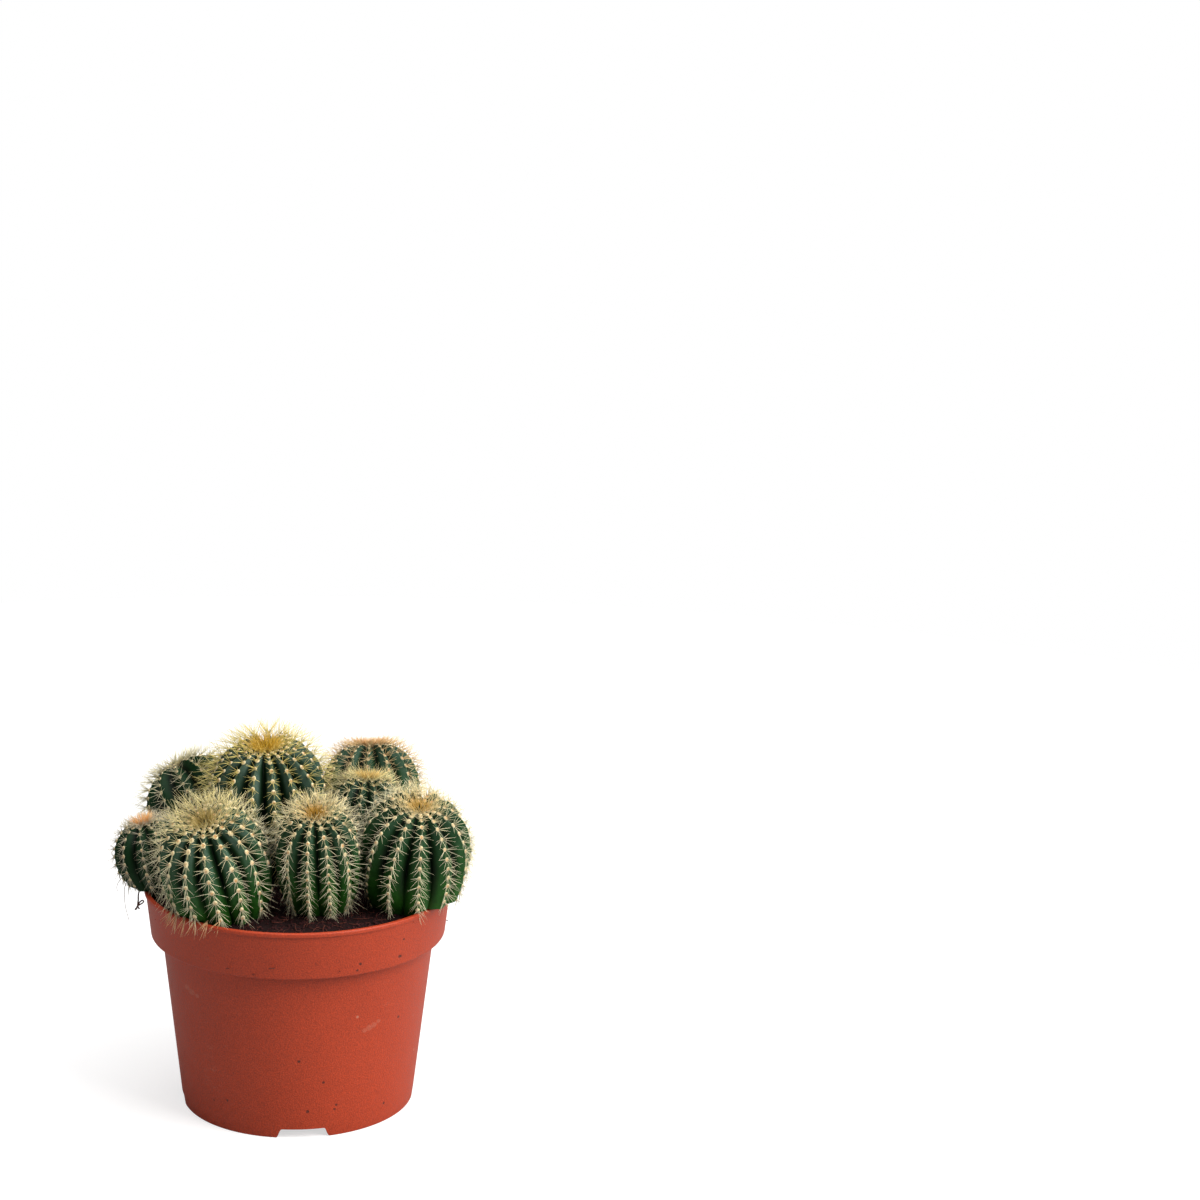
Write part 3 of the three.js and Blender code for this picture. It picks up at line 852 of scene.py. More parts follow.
def lathe_angles():
    """Even steps round the pot, with finer ones where a notch's sides are."""
    pot = settings().pot
    even = [i * TAU / EVEN_STEPS for i in range(EVEN_STEPS)]
    near = (pot.notch_top / 2 - SIDE_MARGIN) / pot.foot
    far = (pot.notch_foot / 2 + SIDE_MARGIN) / pot.foot
    fine = [near + (far - near) * i / SIDE_STEPS for i in range(SIDE_STEPS + 1)]
    turns = [first_notch() + k * TAU / pot.notches for k in range(pot.notches)]
    extra = [turn + side * step for turn in turns for side in (-1, 1) for step in fine]
    angles = sorted({round(angle % TAU, 6) for angle in even + extra})
    spaced = [angles[0]]
    for angle in angles[1:]:
        if angle - spaced[-1] > LEAST_STEP:
            spaced.append(angle)
    return spaced


def close_seams(mesh):
    bmesh.ops.remove_doubles(mesh, verts=mesh.verts, dist=1e-6)
    bmesh.ops.dissolve_degenerate(mesh, edges=mesh.edges, dist=1e-7)
    face_outwards(mesh)


def make_pot_shell():
    """Turns the section round the pot and lifts its foot in the notches."""
    pot = settings().pot
    profile = rounded_corners(pot_profile())
    angles = lathe_angles()
    pitch = TAU / pot.notches
    points = []
    for corner in profile:
        for angle in angles:
            radius, height = corner
            turned = (angle - first_notch() + pitch / 2) % pitch - pitch / 2
            lifted = max(height, notch_rise(turned * pot.foot))
            is_foot = height < pot.floor_level and radius > pot.foot - 1.5 * pot.wall
            if is_foot and lifted > height:
                radius += body_slope() * (lifted - height)
                height = lifted
            points.append((radius * math.cos(angle), radius * math.sin(angle), height))
    shell = new_object("pot_shell", points, ring_faces(len(profile), len(angles)))
    reworked(shell, close_seams)
    cut_drains(shell)
    shade_smooth(shell)
    shell.data.set_sharp_from_angle(angle=math.radians(38))
    return shell


def cut_drains(shell):
    """Cuts the drain holes through the floor."""
    pot = settings().pot
    cutters = bmesh.new()
    for i in range(pot.drains):
        angle = (i + 0.5) * TAU / pot.drains
        centre = Vector((math.cos(angle), math.sin(angle), 0)) * pot.drain_circle
        centre.z = pot.floor_level + pot.wall / 2
        bmesh.ops.create_cone(
            cutters, cap_ends=True, segments=32, radius1=pot.drain_radius,
            radius2=pot.drain_radius, depth=4 * pot.wall, matrix=Matrix.Translation(centre),
        )
    cutter = new_object("drain_cutter", [], [])
    cutters.to_mesh(cutter.data)
    cutters.free()
    boolean = shell.modifiers.new("drains", "BOOLEAN")
    boolean.operation = "DIFFERENCE"
    boolean.solver = "EXACT"
    boolean.object = cutter
    depsgraph = bpy.context.evaluated_depsgraph_get()
    shell.data = bpy.data.meshes.new_from_object(shell.evaluated_get(depsgraph))
    shell.modifiers.clear()
    bpy.data.objects.remove(cutter)


# ---- The form of a head ----
class Form:
    """The rounded envelope of a head and the ways over its surface, for many points at once."""

    def __init__(self, head):
        self.head = head
        self.centre = np.array(head.centre)
        self.axis = unit((*head.lean, 1))
        self.across = unit(np.cross((0, 1, 0), self.axis))
        self.behind = np.cross(self.axis, self.across)
        self.below = (self.centre[2] - head.root) / self.axis[2]
        self.polars = np.linspace(0, math.pi, 900)
        radius, height = self.meridian(self.polars)
        steps = np.hypot(np.diff(radius), np.diff(height))
        self.arcs = np.concatenate(([0], np.cumsum(steps)))
        self.length = self.arcs[-1]

    def meridian(self, polar):
        """Radius and height of the envelope at a polar angle: 0 is the growing point."""
        head = self.head
        cosine = np.cos(polar)
        power = 2 / np.where(cosine > 0, UPPER_FULLNESS, head.fullness)
        radius = head.radius * np.abs(np.sin(polar)) ** power
        dip = CROWN_DIP * np.exp(-((radius / (CROWN_DIP_WIDTH * head.radius)) ** 2))
        rise = np.abs(cosine) ** power
        return radius, np.where(cosine > 0, head.above * (rise - dip), -self.below * rise)

    def on(self, arc, angle, depth=0.0):
        """Points at an arc length from the growing point, sunk by a depth below the envelope."""
        step = 0.0004
        arc = np.asarray(arc, dtype=float)
        radius, height = self.meridian(np.interp(arc, self.arcs, self.polars))
        ahead = self.meridian(np.interp(arc + step, self.arcs, self.polars))
        behind = self.meridian(np.interp(arc - step, self.arcs, self.polars))
        tangent = unit(np.stack((ahead[0] - behind[0], ahead[1] - behind[1]), axis=-1))
        out = np.maximum(radius + depth * tangent[..., 1], 0)
        height = height - depth * tangent[..., 0]
        sideways = np.cos(angle)[..., None] * self.across + np.sin(angle)[..., None] * self.behind
        return self.centre + out[..., None] * sideways + height[..., None] * self.axis

    def reach(self, points):
        """How far points stand outside the envelope; negative inside it."""
        offset = points - self.centre
        height = offset @ self.axis
        out = np.linalg.norm(offset - height[:, None] * self.axis, axis=1)
        power = np.where(height > 0, UPPER_FULLNESS, self.head.fullness)
        share = np.abs(height) / np.where(height > 0, self.head.above, self.below)
        scale = ((out / self.head.radius) ** power + share**power) ** (1 / power)
        return (scale - 1) * self.head.radius


FORMS = [Form(head) for head in HEADS]


def crowding(form, points):
    """How much of their distance from the axis points keep beside the neighbouring heads."""
    others = [other for other in FORMS if other is not form]
    offset = points - form.centre
    on_axis = form.centre + np.outer(offset @ form.axis, form.axis)

    def is_close(places):
        own = form.reach(places) + NEIGHBOUR_GAP
        return np.any([own > other.reach(places) for other in others], axis=0)

    keep = np.ones(len(points))
    pressed = np.flatnonzero(is_close(points))
    low, high = np.full(len(pressed), LEAST_WIDTH), np.ones(len(pressed))
    for _ in range(HALVINGS):
        middle = (low + high) / 2
        tried = on_axis[pressed] + (points - on_axis)[pressed] * middle[:, None]
        close = is_close(tried)
        high = np.where(close, middle, high)
        low = np.where(close, low, middle)
    keep[pressed] = low
    return keep, on_axis + (points - on_axis) * keep[:, None]


def clear_of_rim(points):
    """Where a head hangs over the pot's rim it lies flat on it; lower down it stays inside."""
    pot = settings().pot
    rest = POT_HEIGHT + RIM_GAP
    inner = band_radius() - pot.wall
    radius = np.hypot(points[:, 0], points[:, 1])
    is_low = points[:, 2] < rest
    is_over = is_low & (radius > inner - 3 * RIM_GAP)
    points[is_over, 2] = rest
    lean = (inner - (pot.band_foot - pot.wall)) / (pot.band_height - pot.wall)
    limit = inner - 3 * RIM_GAP - lean * (POT_HEIGHT - points[:, 2])
    share = np.where(is_low & ~is_over, np.minimum(1, limit / np.maximum(radius, 1e-6)), 1)
    points[:, :2] *= share[:, None]
    return points


# ---- The skin ----
POLE_GAP = 0.0004  # from a pole to the nearest ring of the skin
FURROW_START = 0.52  # how far from the axis the furrows grow deep, as a part of the radius
SWELLING = 0.0013  # length of the swelling under an areole
SWELLING_WIDTH = 0.26  # of half a rib
WANDER_LENGTH = 0.011  # of a rib, over which it strays and comes back

# How far from a crest towards the furrow each column of the skin lies.
COLUMNS = np.array([-1, -0.96, -0.88, -0.76, -0.6, -0.43, -0.27, -0.12,
                    0, 0.12, 0.27, 0.43, 0.6, 0.76, 0.88, 0.96])


def crest_angle(head, rib, arc):
    """The angle of a rib's crest, which strays a little on its way down."""
    # The phase differs from rib to rib and from head to head.
    phase = 1.7 * rib + 10 * head.radius / 0.01
    stray = settings().skin.wander * np.sin(arc / WANDER_LENGTH + phase) * smooth(arc, 0.004, 0.02)
    return (rib + 0.5) * TAU / head.ribs + math.radians(head.turn) + stray


def areole_arcs(form, rib):
    """Arc lengths from the growing point of the areoles down a rib."""
    head, look = form.head, settings().spines
    cycle = 3 if head.ribs % 2 else 2
    arc = 1.12 * head.heart * head.radius
    arc += (rib % cycle) / cycle * look.crown_spacing * head.spacing
    arcs = []
    while arc < form.length:
        arcs.append(arc)
        grown = smooth(arc, 0.2 * head.radius, 0.6 * head.radius)
        arc += head.spacing * (look.crown_spacing + (1 - look.crown_spacing) * grown)
    return np.array(arcs)


def furrow_depths(form, arcs, radius):
    """How far the skin lies below the envelope, for each column of a rib and each row."""
    head, look = form.head, settings().skin
    grown = 1 - np.exp(-((radius / (FURROW_START * head.radius)) ** 1.6))
    low_down = smooth(arcs, 0.3 * form.length, 0.8 * form.length)
    depths = look.rib_depth * head.radius * grown * (1.08 - 0.6 * low_down)
    # The ribs are narrow with wide furrows near the crown, and full and round lower down.
    across = np.abs(COLUMNS)
    roof = np.sqrt(across**2 + 0.01) - 0.1
    roof /= roof[0]
    high_up = 1 - smooth(arcs, 0.15 * form.length, 0.42 * form.length)
    narrow = (1 - np.cos(across * math.pi)) / 2
    full = 1 - np.sqrt(1 - across**2)
    rounded = np.outer(narrow, high_up) + np.outer(full, 1 - high_up)
    section = look.crest_sharpness * roof[:, None] + (1 - look.crest_sharpness) * rounded
    return depths * section


def skin_grid(form, arcs):
    """The angle and the depth of each point of the skin, as rows down it and columns round it."""
    head, look = form.head, settings().skin
    radius, _ = form.meridian(np.interp(arcs, form.arcs, form.polars))
    depths = furrow_depths(form, arcs, radius)
    angle_grid, depth_grid = [], []
    for rib in range(head.ribs):
        swell = np.zeros(len(arcs))
        for arc in areole_arcs(form, rib):
            swell += np.exp(-(((arcs - arc) / SWELLING) ** 2))
        crest = crest_angle(head, rib, arcs)
        following = crest_angle(head, rib + 1, arcs)
        previous = crest_angle(head, rib - 1, arcs)
        for column, u in enumerate(COLUMNS):
            neighbour = following if u > 0 else previous
            angle_grid.append(crest + (neighbour - crest) * abs(u) / 2)
            lump = look.bump * np.minimum(swell, 1) * math.exp(-((u / SWELLING_WIDTH) ** 2))
            depth_grid.append(depths[column] - lump * smooth(radius, 0.001, 0.004))
    return np.array(angle_grid).T, np.array(depth_grid).T


def make_skin(form):
    """The ribbed body of a head, closed at both poles."""
    head = form.head
    rows = round(form.length / settings().skin.row)
    arcs = np.linspace(POLE_GAP, form.length - POLE_GAP, rows)
    angles, depths = skin_grid(form, arcs)
    columns = angles.shape[1]
    arc_grid = np.repeat(arcs[:, None], columns, axis=1)
    _, points = crowding(form, form.on(arc_grid, angles, depths).reshape(-1, 3))
    points = clear_of_rim(points)

    top, bottom = len(points), len(points) + 1
    poles = form.on(np.array([0, form.length]), np.zeros(2))
    points = np.vstack((points, poles))
    last_ring = range((rows - 1) * columns, rows * columns)
    faces = fan(top, range(columns)) + ring_faces(rows, columns) + fan(bottom, last_ring[::-1])
    skin = new_object(f"skin_{head.name}", points, faces)

    furrows = np.tile(np.abs(COLUMNS), head.ribs * rows)
    store(skin, "furrow", np.append(furrows, [0, 0]))
    store(skin, "rise", np.append(1 - arc_grid.ravel() / form.length, [1, 0]))
    store(skin, "bloom_and_sheen", np.full(len(points), head.bloom_and_sheen))
    store(skin, "fresh", np.full(len(points), head.fresh))
    shade_smooth(skin)
    skin.data.materials.append(cactus_skin())
    return skin


# ---- Areoles ----
HEART_LEAST = 12  # points in the smallest growing point
HEART_MORE = 1100  # further points in one of the radius WIDE_HEART
WIDE_HEART = 0.03
USUAL_SPACING = 0.0059  # of the areoles, at which a pad has its full width
ARC_STEP = 0.0006  # over which the way down a rib is measured
LEAST_KEPT = 0.93  # of the distance from the axis, where the skin under an areole is pressed in
LEAST_ROOM = 0.0018  # between an areole and the next head
LEAST_ROOM_IN_FRONT = 0.0045  # the same on the front heads, which crowd each other most
FRONT_HEADS = -0.02  # y of a head's middle, in front of which it is a front head
BROOM_HEIGHT = 0.0022  # above the rim, where a rib that lies over it bears a broom
BROOM_REACH = 0.007  # how near to the rim's outer edge that is


def areole_places(form):
    """The arc and angle of every areole of a head, and which are in its heart or over the rim."""
    head = form.head
    arcs, angles = [], []
    for rib in range(head.ribs):
        down = areole_arcs(form, rib)
        arcs.extend(down)
        angles.extend(crest_angle(head, rib, down))
    hearts = round(HEART_LEAST + HEART_MORE * (head.heart * head.radius / WIDE_HEART) ** 2)
    golden = math.pi * (3 - math.sqrt(5))
    for i in range(hearts):
        arcs.append(head.heart * head.radius * math.sqrt((i + 0.5) / hearts))
        angles.append(i * golden)
    is_heart = np.arange(len(arcs)) >= len(arcs) - hearts
    is_broom = np.zeros(len(arcs), dtype=bool)
    if head.name == BROOM_HEAD:
        brooms = broom_places(form)
        arcs.extend(arc for arc, _ in brooms)
        angles.extend(angle for _, angle in brooms)
        is_heart = np.append(is_heart, np.zeros(len(brooms), dtype=bool))
        is_broom = np.append(is_broom, np.ones(len(brooms), dtype=bool))
    return np.array(arcs), np.array(angles), is_heart, is_broom


def broom_places(form):
    """Where the ribs that lie over the front of the rim come down to it."""
    found = []
    arcs = np.linspace(0.3 * form.length, form.length, 400)
    for rib in range(2 * form.head.ribs):
        angles = crest_angle(form.head, rib / 2, arcs)
        path = form.on(arcs, angles)
        low = np.flatnonzero(path[:, 2] < POT_HEIGHT + BROOM_HEIGHT)[0]
        x, y, _ = path[low]
        if math.hypot(x, y) > RIM_RADIUS - BROOM_REACH and y < -abs(x) * 0.7:
            found.append((arcs[low], angles[low]))
    return found


def areole_ways(form, arcs, angles):
    """Of each areole: its place, and the ways down the rib, along the skin, off it and outwards."""
    places = form.on(arcs, angles, -0.6 * settings().skin.bump)
    down = unit(form.on(arcs + ARC_STEP, angles) - form.on(arcs - ARC_STEP, angles))
    outwards = np.cos(angles)[:, None] * form.across + np.sin(angles)[:, None] * form.behind
    side = unit(np.cross(form.axis, outwards))
    out = unit(np.cross(down, side))
    out *= np.sign(np.sum(out * (0.5 * form.axis + outwards), axis=1))[:, None]
    return places, down, side, out, outwards


def is_bare(form, pressed, keep, room):
    """Which areoles are hidden between two heads, under the soil or against the rim."""
    radius = np.hypot(pressed[:, 0], pressed[:, 1])
    over_rim = radius > band_radius() - settings().pot.wall - 0.002
    lowest = np.where(over_rim, POT_HEIGHT + 0.0009, settings().soil.crown_level + 0.0016)
    is_in_front = form.centre[1] < FRONT_HEADS
    least_room = LEAST_ROOM_IN_FRONT if is_in_front else LEAST_ROOM
    return (keep <= LEAST_KEPT) | (room <= least_room) | (pressed[:, 2] <= lowest)


def hanging_ways(pressed):
    """The ways outwards and down that clear the rim's edge."""
    away = unit(pressed * (1, 1, 0))
    radius = np.hypot(pressed[:, 0], pressed[:, 1])
    to_edge = np.maximum(RIM_RADIUS + 0.0006 - radius, 0.0004)
    slope = np.clip((pressed[:, 2] - POT_HEIGHT) / to_edge, 0.3, 1.3)
    return unit(away - slope[:, None] * np.array((0, 0, 1)))


def make_areole_points(form, name):
    """A mesh of points only, one an areole, that keeps what its spines are like."""
    head = form.head
    arcs, angles, is_heart, is_broom = areole_places(form)
    places, down, side, out, outwards = areole_ways(form, arcs, angles)
    keep, pressed = crowding(form, places)
    room = np.min([other.reach(pressed) for other in FORMS if other is not form], axis=0)
    shown = ~is_bare(form, pressed, keep, room) | is_broom

    heart_radius = head.heart * head.radius
    from_middle = arcs / heart_radius
    young = 1 - smooth(arcs, heart_radius, head.young)
    tinted = 1 - smooth(arcs, 0.7 * head.young, 2.3 * head.young)
    old = smooth(arcs, 0.45 * form.length, 0.62 * form.length)
    # On the front of a crown that leans forward the spines are short and lie flat.
    forward = np.clip(-head.lean[1] / 0.25, 0, 1) * smooth(-outwards[:, 1], 0.1, 0.8)
    forward = np.where(is_heart, 0, forward)
    young *= 1 - 0.75 * forward
    splay = np.where(is_heart, 0.9 * from_middle, 0.7 + 1.5 * arcs / head.young)
    crown_way = unit(form.axis + splay[:, None] * outwards)
    heart_length = head.heart_length * (0.8 + 0.3 * from_middle)
    crown_length = np.where(is_heart, heart_length, head.crown_length * (1 - 0.45 * forward))
    side_length = head.side_length * (0.3 + 0.7 * smooth(room, 0.001, 0.012))

    # From the heart's tint to the crown's and the side's, darker when old, and darkened between
    # heads with painted shade.
    outer = smooth(from_middle, 0.5, 2.0)[:, None]
    tint = (1 - outer) * head.heart_tint + outer * head.crown_tint
    tint = tint * tinted[:, None] + np.array(head.side_tint) * (1 - tinted[:, None])
    tint *= (1 - 0.12 * old * (1 - tinted))[:, None]
    # Painted shade: the spines between two heads are darkened.
    tint *= (0.06 + 0.94 * smooth(room, 0.002, 0.015))[:, None]

    # Over the rim hang brooms of russet spines.
    hangs = is_broom[:, None]
    host = new_object(name, pressed[shown], [])
    for label, values in (
        ("out", out), ("down", down), ("side", side), ("old", old),
        ("side_length", side_length),
        ("crown_way", np.where(hangs, hanging_ways(pressed), crown_way)),
        ("tint", np.where(hangs, RUSSET, tint)),
        ("young", np.where(is_broom, 1, young)),
        ("tinted", np.where(is_broom, 1, tinted)),
        ("crown_length", np.where(is_broom, BROOM_LENGTH, crown_length)),
        ("is_heart", (is_heart | is_broom).astype(float)),
    ):
        store(host, label, values[shown])
    return host


def pad_tree():
    """Sets a flat felt pad on each areole."""
    tree, inputs = growing_tree("felt pads", [("Width", FLOAT, settings().spines.pad)])
    ball = place(
        tree, "GeometryNodeMeshUVSphere", {"Segments": 9, "Rings": 6, "Radius": 0.5}
    )
    height = place(tree, "ShaderNodeSeparateXYZ", {0: place(tree, "GeometryNodeInputPosition")})
    pad = noted(tree, ball, "middle", ramped(tree, height.outputs["Z"], 0.2, 0.5))
    is_flank = maths(tree, "LESS_THAN", kept(tree, "is_heart"), 0.5)
    size = product(
        tree, inputs["Width"], blended(tree, kept(tree, "young"), 1.0, 0.8),
        drawn(tree, 0.82, 1.12, inputs["Seed"], 1),
    )
    scale = combined(tree, X=size, Y=product(tree, size, 1.2), Z=product(tree, size, 0.5))
    pads = instances(
        tree, inputs["Geometry"], pad, kept(tree, "out", "FLOAT_VECTOR"),
        kept(tree, "side", "FLOAT_VECTOR"), scale, is_flank,
    )
    warmth = drawn(tree, 0.25, 1.0, inputs["Seed"], 2)
    shaded = noted(tree, pads, "shade", warmth, "INSTANCE")
    return end_tree(tree, shaded, areole_felt())


# ---- Spines ----
def spine_shape(tree):
    """A bent thorn a unit long that keeps how far along it each point is."""
    thorn = place(
        tree, "GeometryNodeMeshCone",
        {"Vertices": 3, "Side Segments": 3, "Fill Segments": 1, "Radius Top": 0.12,
         "Radius Bottom": 0.5, "Depth": 1.0},
    )
    spot = place(tree, "ShaderNodeSeparateXYZ", {0: place(tree, "GeometryNodeInputPosition")})
    along = spot.outputs["Z"]
    bent = place(
        tree, "GeometryNodeSetPosition",
        {"Geometry": thorn, "Offset": combined(tree, X=product(tree, along, along, 0.9))},
    )
    return noted(tree, bent, "along", along)


def spine_tree():
    """Grows a star of spines from each areole: most lie fanned out, a few stand off the middle."""
    look = settings().spines
    tree, inputs = growing_tree("spines", [
        ("Spines", "NodeSocketInt", look.per_areole),
        ("Central", "NodeSocketInt", look.central),
        ("Thickness", FLOAT, look.thickness),
    ])
    seed = inputs["Seed"]
    young, old, tinted, is_heart, side_length, crown_length = (
        kept(tree, name)
        for name in ("young", "old", "tinted", "is_heart", "side_length", "crown_length")
    )
    out, down, side, crown_way = (
        kept(tree, name, "FLOAT_VECTOR") for name in ("out", "down", "side", "crown_way")
    )

    # Near the crown there are fewer spines on an areole, but not in its heart.
    is_flank = maths(tree, "SUBTRACT", 1.0, is_heart)
    missing = product(tree, young, is_flank, 3.0)
    amount = maths(tree, "ROUND", maths(tree, "SUBTRACT", inputs["Spines"], missing))
    copies = place(
        tree, "GeometryNodeDuplicateElements",
        {"Geometry": inputs["Geometry"], "Amount": amount}, domain="POINT",
    )
    number_on_areole = copies.outputs["Duplicate Index"]
    fanned = maths(tree, "SUBTRACT", amount, inputs["Central"])
    is_central = maths(tree, "GREATER_THAN", maths(tree, "ADD", number_on_areole, 0.5), fanned)

    # The way a spine takes across the surface: all round, but with few upwards.
    turn = maths(tree, "ADD", number_on_areole, drawn(tree, -0.4, 0.4, seed, 1))
    angle = product(tree, maths(tree, "DIVIDE", turn, fanned), TAU)
    downward_part = maths(tree, "MULTIPLY_ADD", maths(tree, "SINE", angle), 0.74, 0.3)
    across = vectors(
        tree, "ADD", scaled(tree, side, maths(tree, "COSINE", angle)),
        scaled(tree, down, downward_part),
    )

    # How steeply it stands off the surface.
    flat_lift = maths(
        tree, "ADD", drawn(tree, 0.2, 0.7, seed, 2), product(tree, tinted, 0.6)
    )
    lift = blended(tree, is_central, flat_lift, drawn(tree, 1.1, 2.4, seed, 3))
    standing = vectors(tree, "ADD", across, scaled(tree, out, lift))
    drooping = vectors(tree, "ADD", standing, scaled(tree, down, product(tree, old, 0.9)))
    spread = blended(tree, is_heart, 0.7, 0.34)
    loose = vectors(tree, "ADD", crown_way, scaled(tree, across, spread))
    side_way, upright = (vectors(tree, "NORMALIZE", way) for way in (drooping, loose))
    way = vectors(tree, "NORMALIZE", blended(tree, young, side_way, upright, "VECTOR"))

    side_size = product(tree, side_length, blended(tree, is_central, 0.92, 1.25))
    size = blended(tree, tinted, side_size, crown_length)
    size = product(tree, size, drawn(tree, 0.62, 1.08, seed, 4))
    thick = product(
        tree, inputs["Thickness"], blended(tree, tinted, 0.88, 0.95),
        drawn(tree, 0.75, 1.2, seed, 5),
    )
    bend_way = vectors(tree, "ADD", drawn_way(tree, seed, 6), scaled(tree, down, 0.7))
    spines = instances(
        tree, copies.outputs["Geometry"], spine_shape(tree), way, bend_way,
        combined(tree, X=thick, Y=thick, Z=size),
    )
    shaded = noted(tree, spines, "shade", drawn(tree, 0.64, 1.1, seed, 7), "INSTANCE")
    return end_tree(tree, shaded, cactus_spine())


# ---- The soil ----
SOIL_COLUMNS, SOIL_RINGS = 150, 48
SOIL_GAP = 0.0003  # to the pot's wall
LUMP_WIDTH = 0.0045
HEAP_WIDTH = 0.004  # how far from a head the soil is heaped


def openness(points):
    """How far points are from the nearest head."""
    return np.min([form.reach(points) for form in FORMS], axis=0)


def soil_height(x, y, edge_radius):
    """Height of the lumpy soil, which rises to the heads and to the middle."""
    soil = settings().soil
    radius = np.hypot(x, y)
    level = soil.crown_level + (soil.edge_level - soil.crown_level) * (radius / edge_radius) ** 2
    flat = np.stack((x, y, level), axis=1)
    distance = np.maximum(openness(flat), 0)
    level = level + soil.heap * np.exp(-distance / HEAP_WIDTH)
    rough = [
        noise.fractal(Vector((px, py, 0)) / LUMP_WIDTH, 0.8, 2.1, 4) for px, py in zip(x, y)
    ]
    return level + soil.lumps * np.array(rough)


def make_soil_body():
    """A closed block of soil whose top is lumpy and heaped against the heads."""
    pot, soil = settings().pot, settings().soil
    inner = pot.band_foot - pot.wall - SOIL_GAP
    shelf = POT_HEIGHT - pot.band_height + pot.wall + SOIL_GAP
    floor = pot.floor_level + pot.wall + SOIL_GAP
    slope = body_slope()
    body_radius = pot.foot - pot.wall - SOIL_GAP
    angles = np.arange(SOIL_COLUMNS) * TAU / SOIL_COLUMNS
    radii = inner * np.linspace(0, 1, SOIL_RINGS + 1)[1:]
    x = np.outer(radii, np.cos(angles)).ravel()
    y = np.outer(radii, np.sin(angles)).ravel()
    top_points = np.stack((x, y, soil_height(x, y, inner)), axis=1)
    walls = [
        (inner, shelf), (body_radius + slope * (shelf - pot.wall), shelf),
        (body_radius + slope * floor, floor),
    ]
    lower = [
        (radius * math.cos(angle), radius * math.sin(angle), height)
        for radius, height in walls for angle in angles
    ]
    centre_height = soil_height(np.zeros(1), np.zeros(1), inner)[0]
    points = np.vstack((top_points, lower, [(0, 0, centre_height), (0, 0, floor)]))
    rows = SOIL_RINGS + len(walls)
    last_ring = range((rows - 1) * SOIL_COLUMNS, rows * SOIL_COLUMNS)
    faces = fan(len(points) - 2, range(SOIL_COLUMNS))
    faces += ring_faces(rows, SOIL_COLUMNS)
    faces += fan(len(points) - 1, last_ring[::-1])
    body = new_object("soil_peat", points, faces)
    is_top = np.arange(len(points)) < SOIL_RINGS * SOIL_COLUMNS
    store(body, "open", is_top * smooth(openness(points), 0.0006, 0.0016))
    shade_smooth(body)
    body.data.materials.append(soil_peat("damp peat", soil.peat[:], 0.55))
    return body


def scatter_tree(name, shape_of, material, flatness):
    """Scatters one small shape over the open soil."""
    tree, inputs = growing_tree(name, [("Density", FLOAT, 1.0), ("Size", FLOAT, 0.001)])
    seed = inputs["Seed"]
    spots = place(
        tree, "GeometryNodeDistributePointsOnFaces",
        {"Mesh": inputs["Geometry"], "Seed": seed,
         "Density": product(tree, inputs["Density"], kept(tree, "open"))},
    )
    lying = vectors(tree, "MULTIPLY", drawn_way(tree, seed, 1), (1, 1, flatness))
    across = vectors(tree, "CROSS_PRODUCT", lying, (0.3, 0.2, 1))
    size = product(tree, inputs["Size"], drawn(tree, 0.3, 1.0, seed, 2))
    bits = instances(tree, spots.outputs["Points"], shape_of(tree), lying, across, size)
    return end_tree(tree, bits, material)


def crumb_shape(tree):
    """A rough lump a unit wide."""
    ball = place(tree, "GeometryNodeMeshIcoSphere", {"Radius": 0.5, "Subdivisions": 2})
    spot = place(tree, "GeometryNodeInputPosition")
    rough = place(tree, "ShaderNodeTexNoise", {"Vector": spot, "Scale": 2.2, "Detail": 1.0})
    swing = vectors(tree, "SUBTRACT", rough.outputs["Color"], (0.5, 0.5, 0.5))
    return place(
        tree, "GeometryNodeSetPosition", {"Geometry": ball, "Offset": scaled(tree, swing, 0.9)}
    )


def fibre_shape(tree):
    """A thin bowed fibre a unit long."""
    rod = place(
        tree, "GeometryNodeMeshCone",
        {"Vertices": 3, "Side Segments": 5, "Fill Segments": 1, "Radius Top": 0.012,
         "Radius Bottom": 0.03, "Depth": 1.0},
    )
    spot = place(tree, "ShaderNodeSeparateXYZ", {0: place(tree, "GeometryNodeInputPosition")})
    bow = product(tree, maths(tree, "SINE", product(tree, spot.outputs["Z"], 4)), 0.14)
    return place(
        tree, "GeometryNodeSetPosition",
        {"Geometry": rod, "Offset": combined(tree, X=bow, Z=-0.5)},
    )


def scatter(name, shape_of, material, flatness, density, size, seed):
    """Strews one kind of litter over the open places of the soil."""
    soil_body = bpy.data.objects["soil_peat"]
    bits = bpy.data.objects.new(name, soil_body.data.copy())
    bpy.context.scene.collection.objects.link(bits)
    bits.data.materials.clear()
    tree = scatter_tree(name, shape_of, material, flatness)
    grow(bits, tree, {"Density": density, "Size": size, "Seed": seed})
    finish_piece(bits, "soil")


# ---- Strands ----
STALK_DEPTH = -0.012  # y of the plane that the dried remains hang in, at the left rim

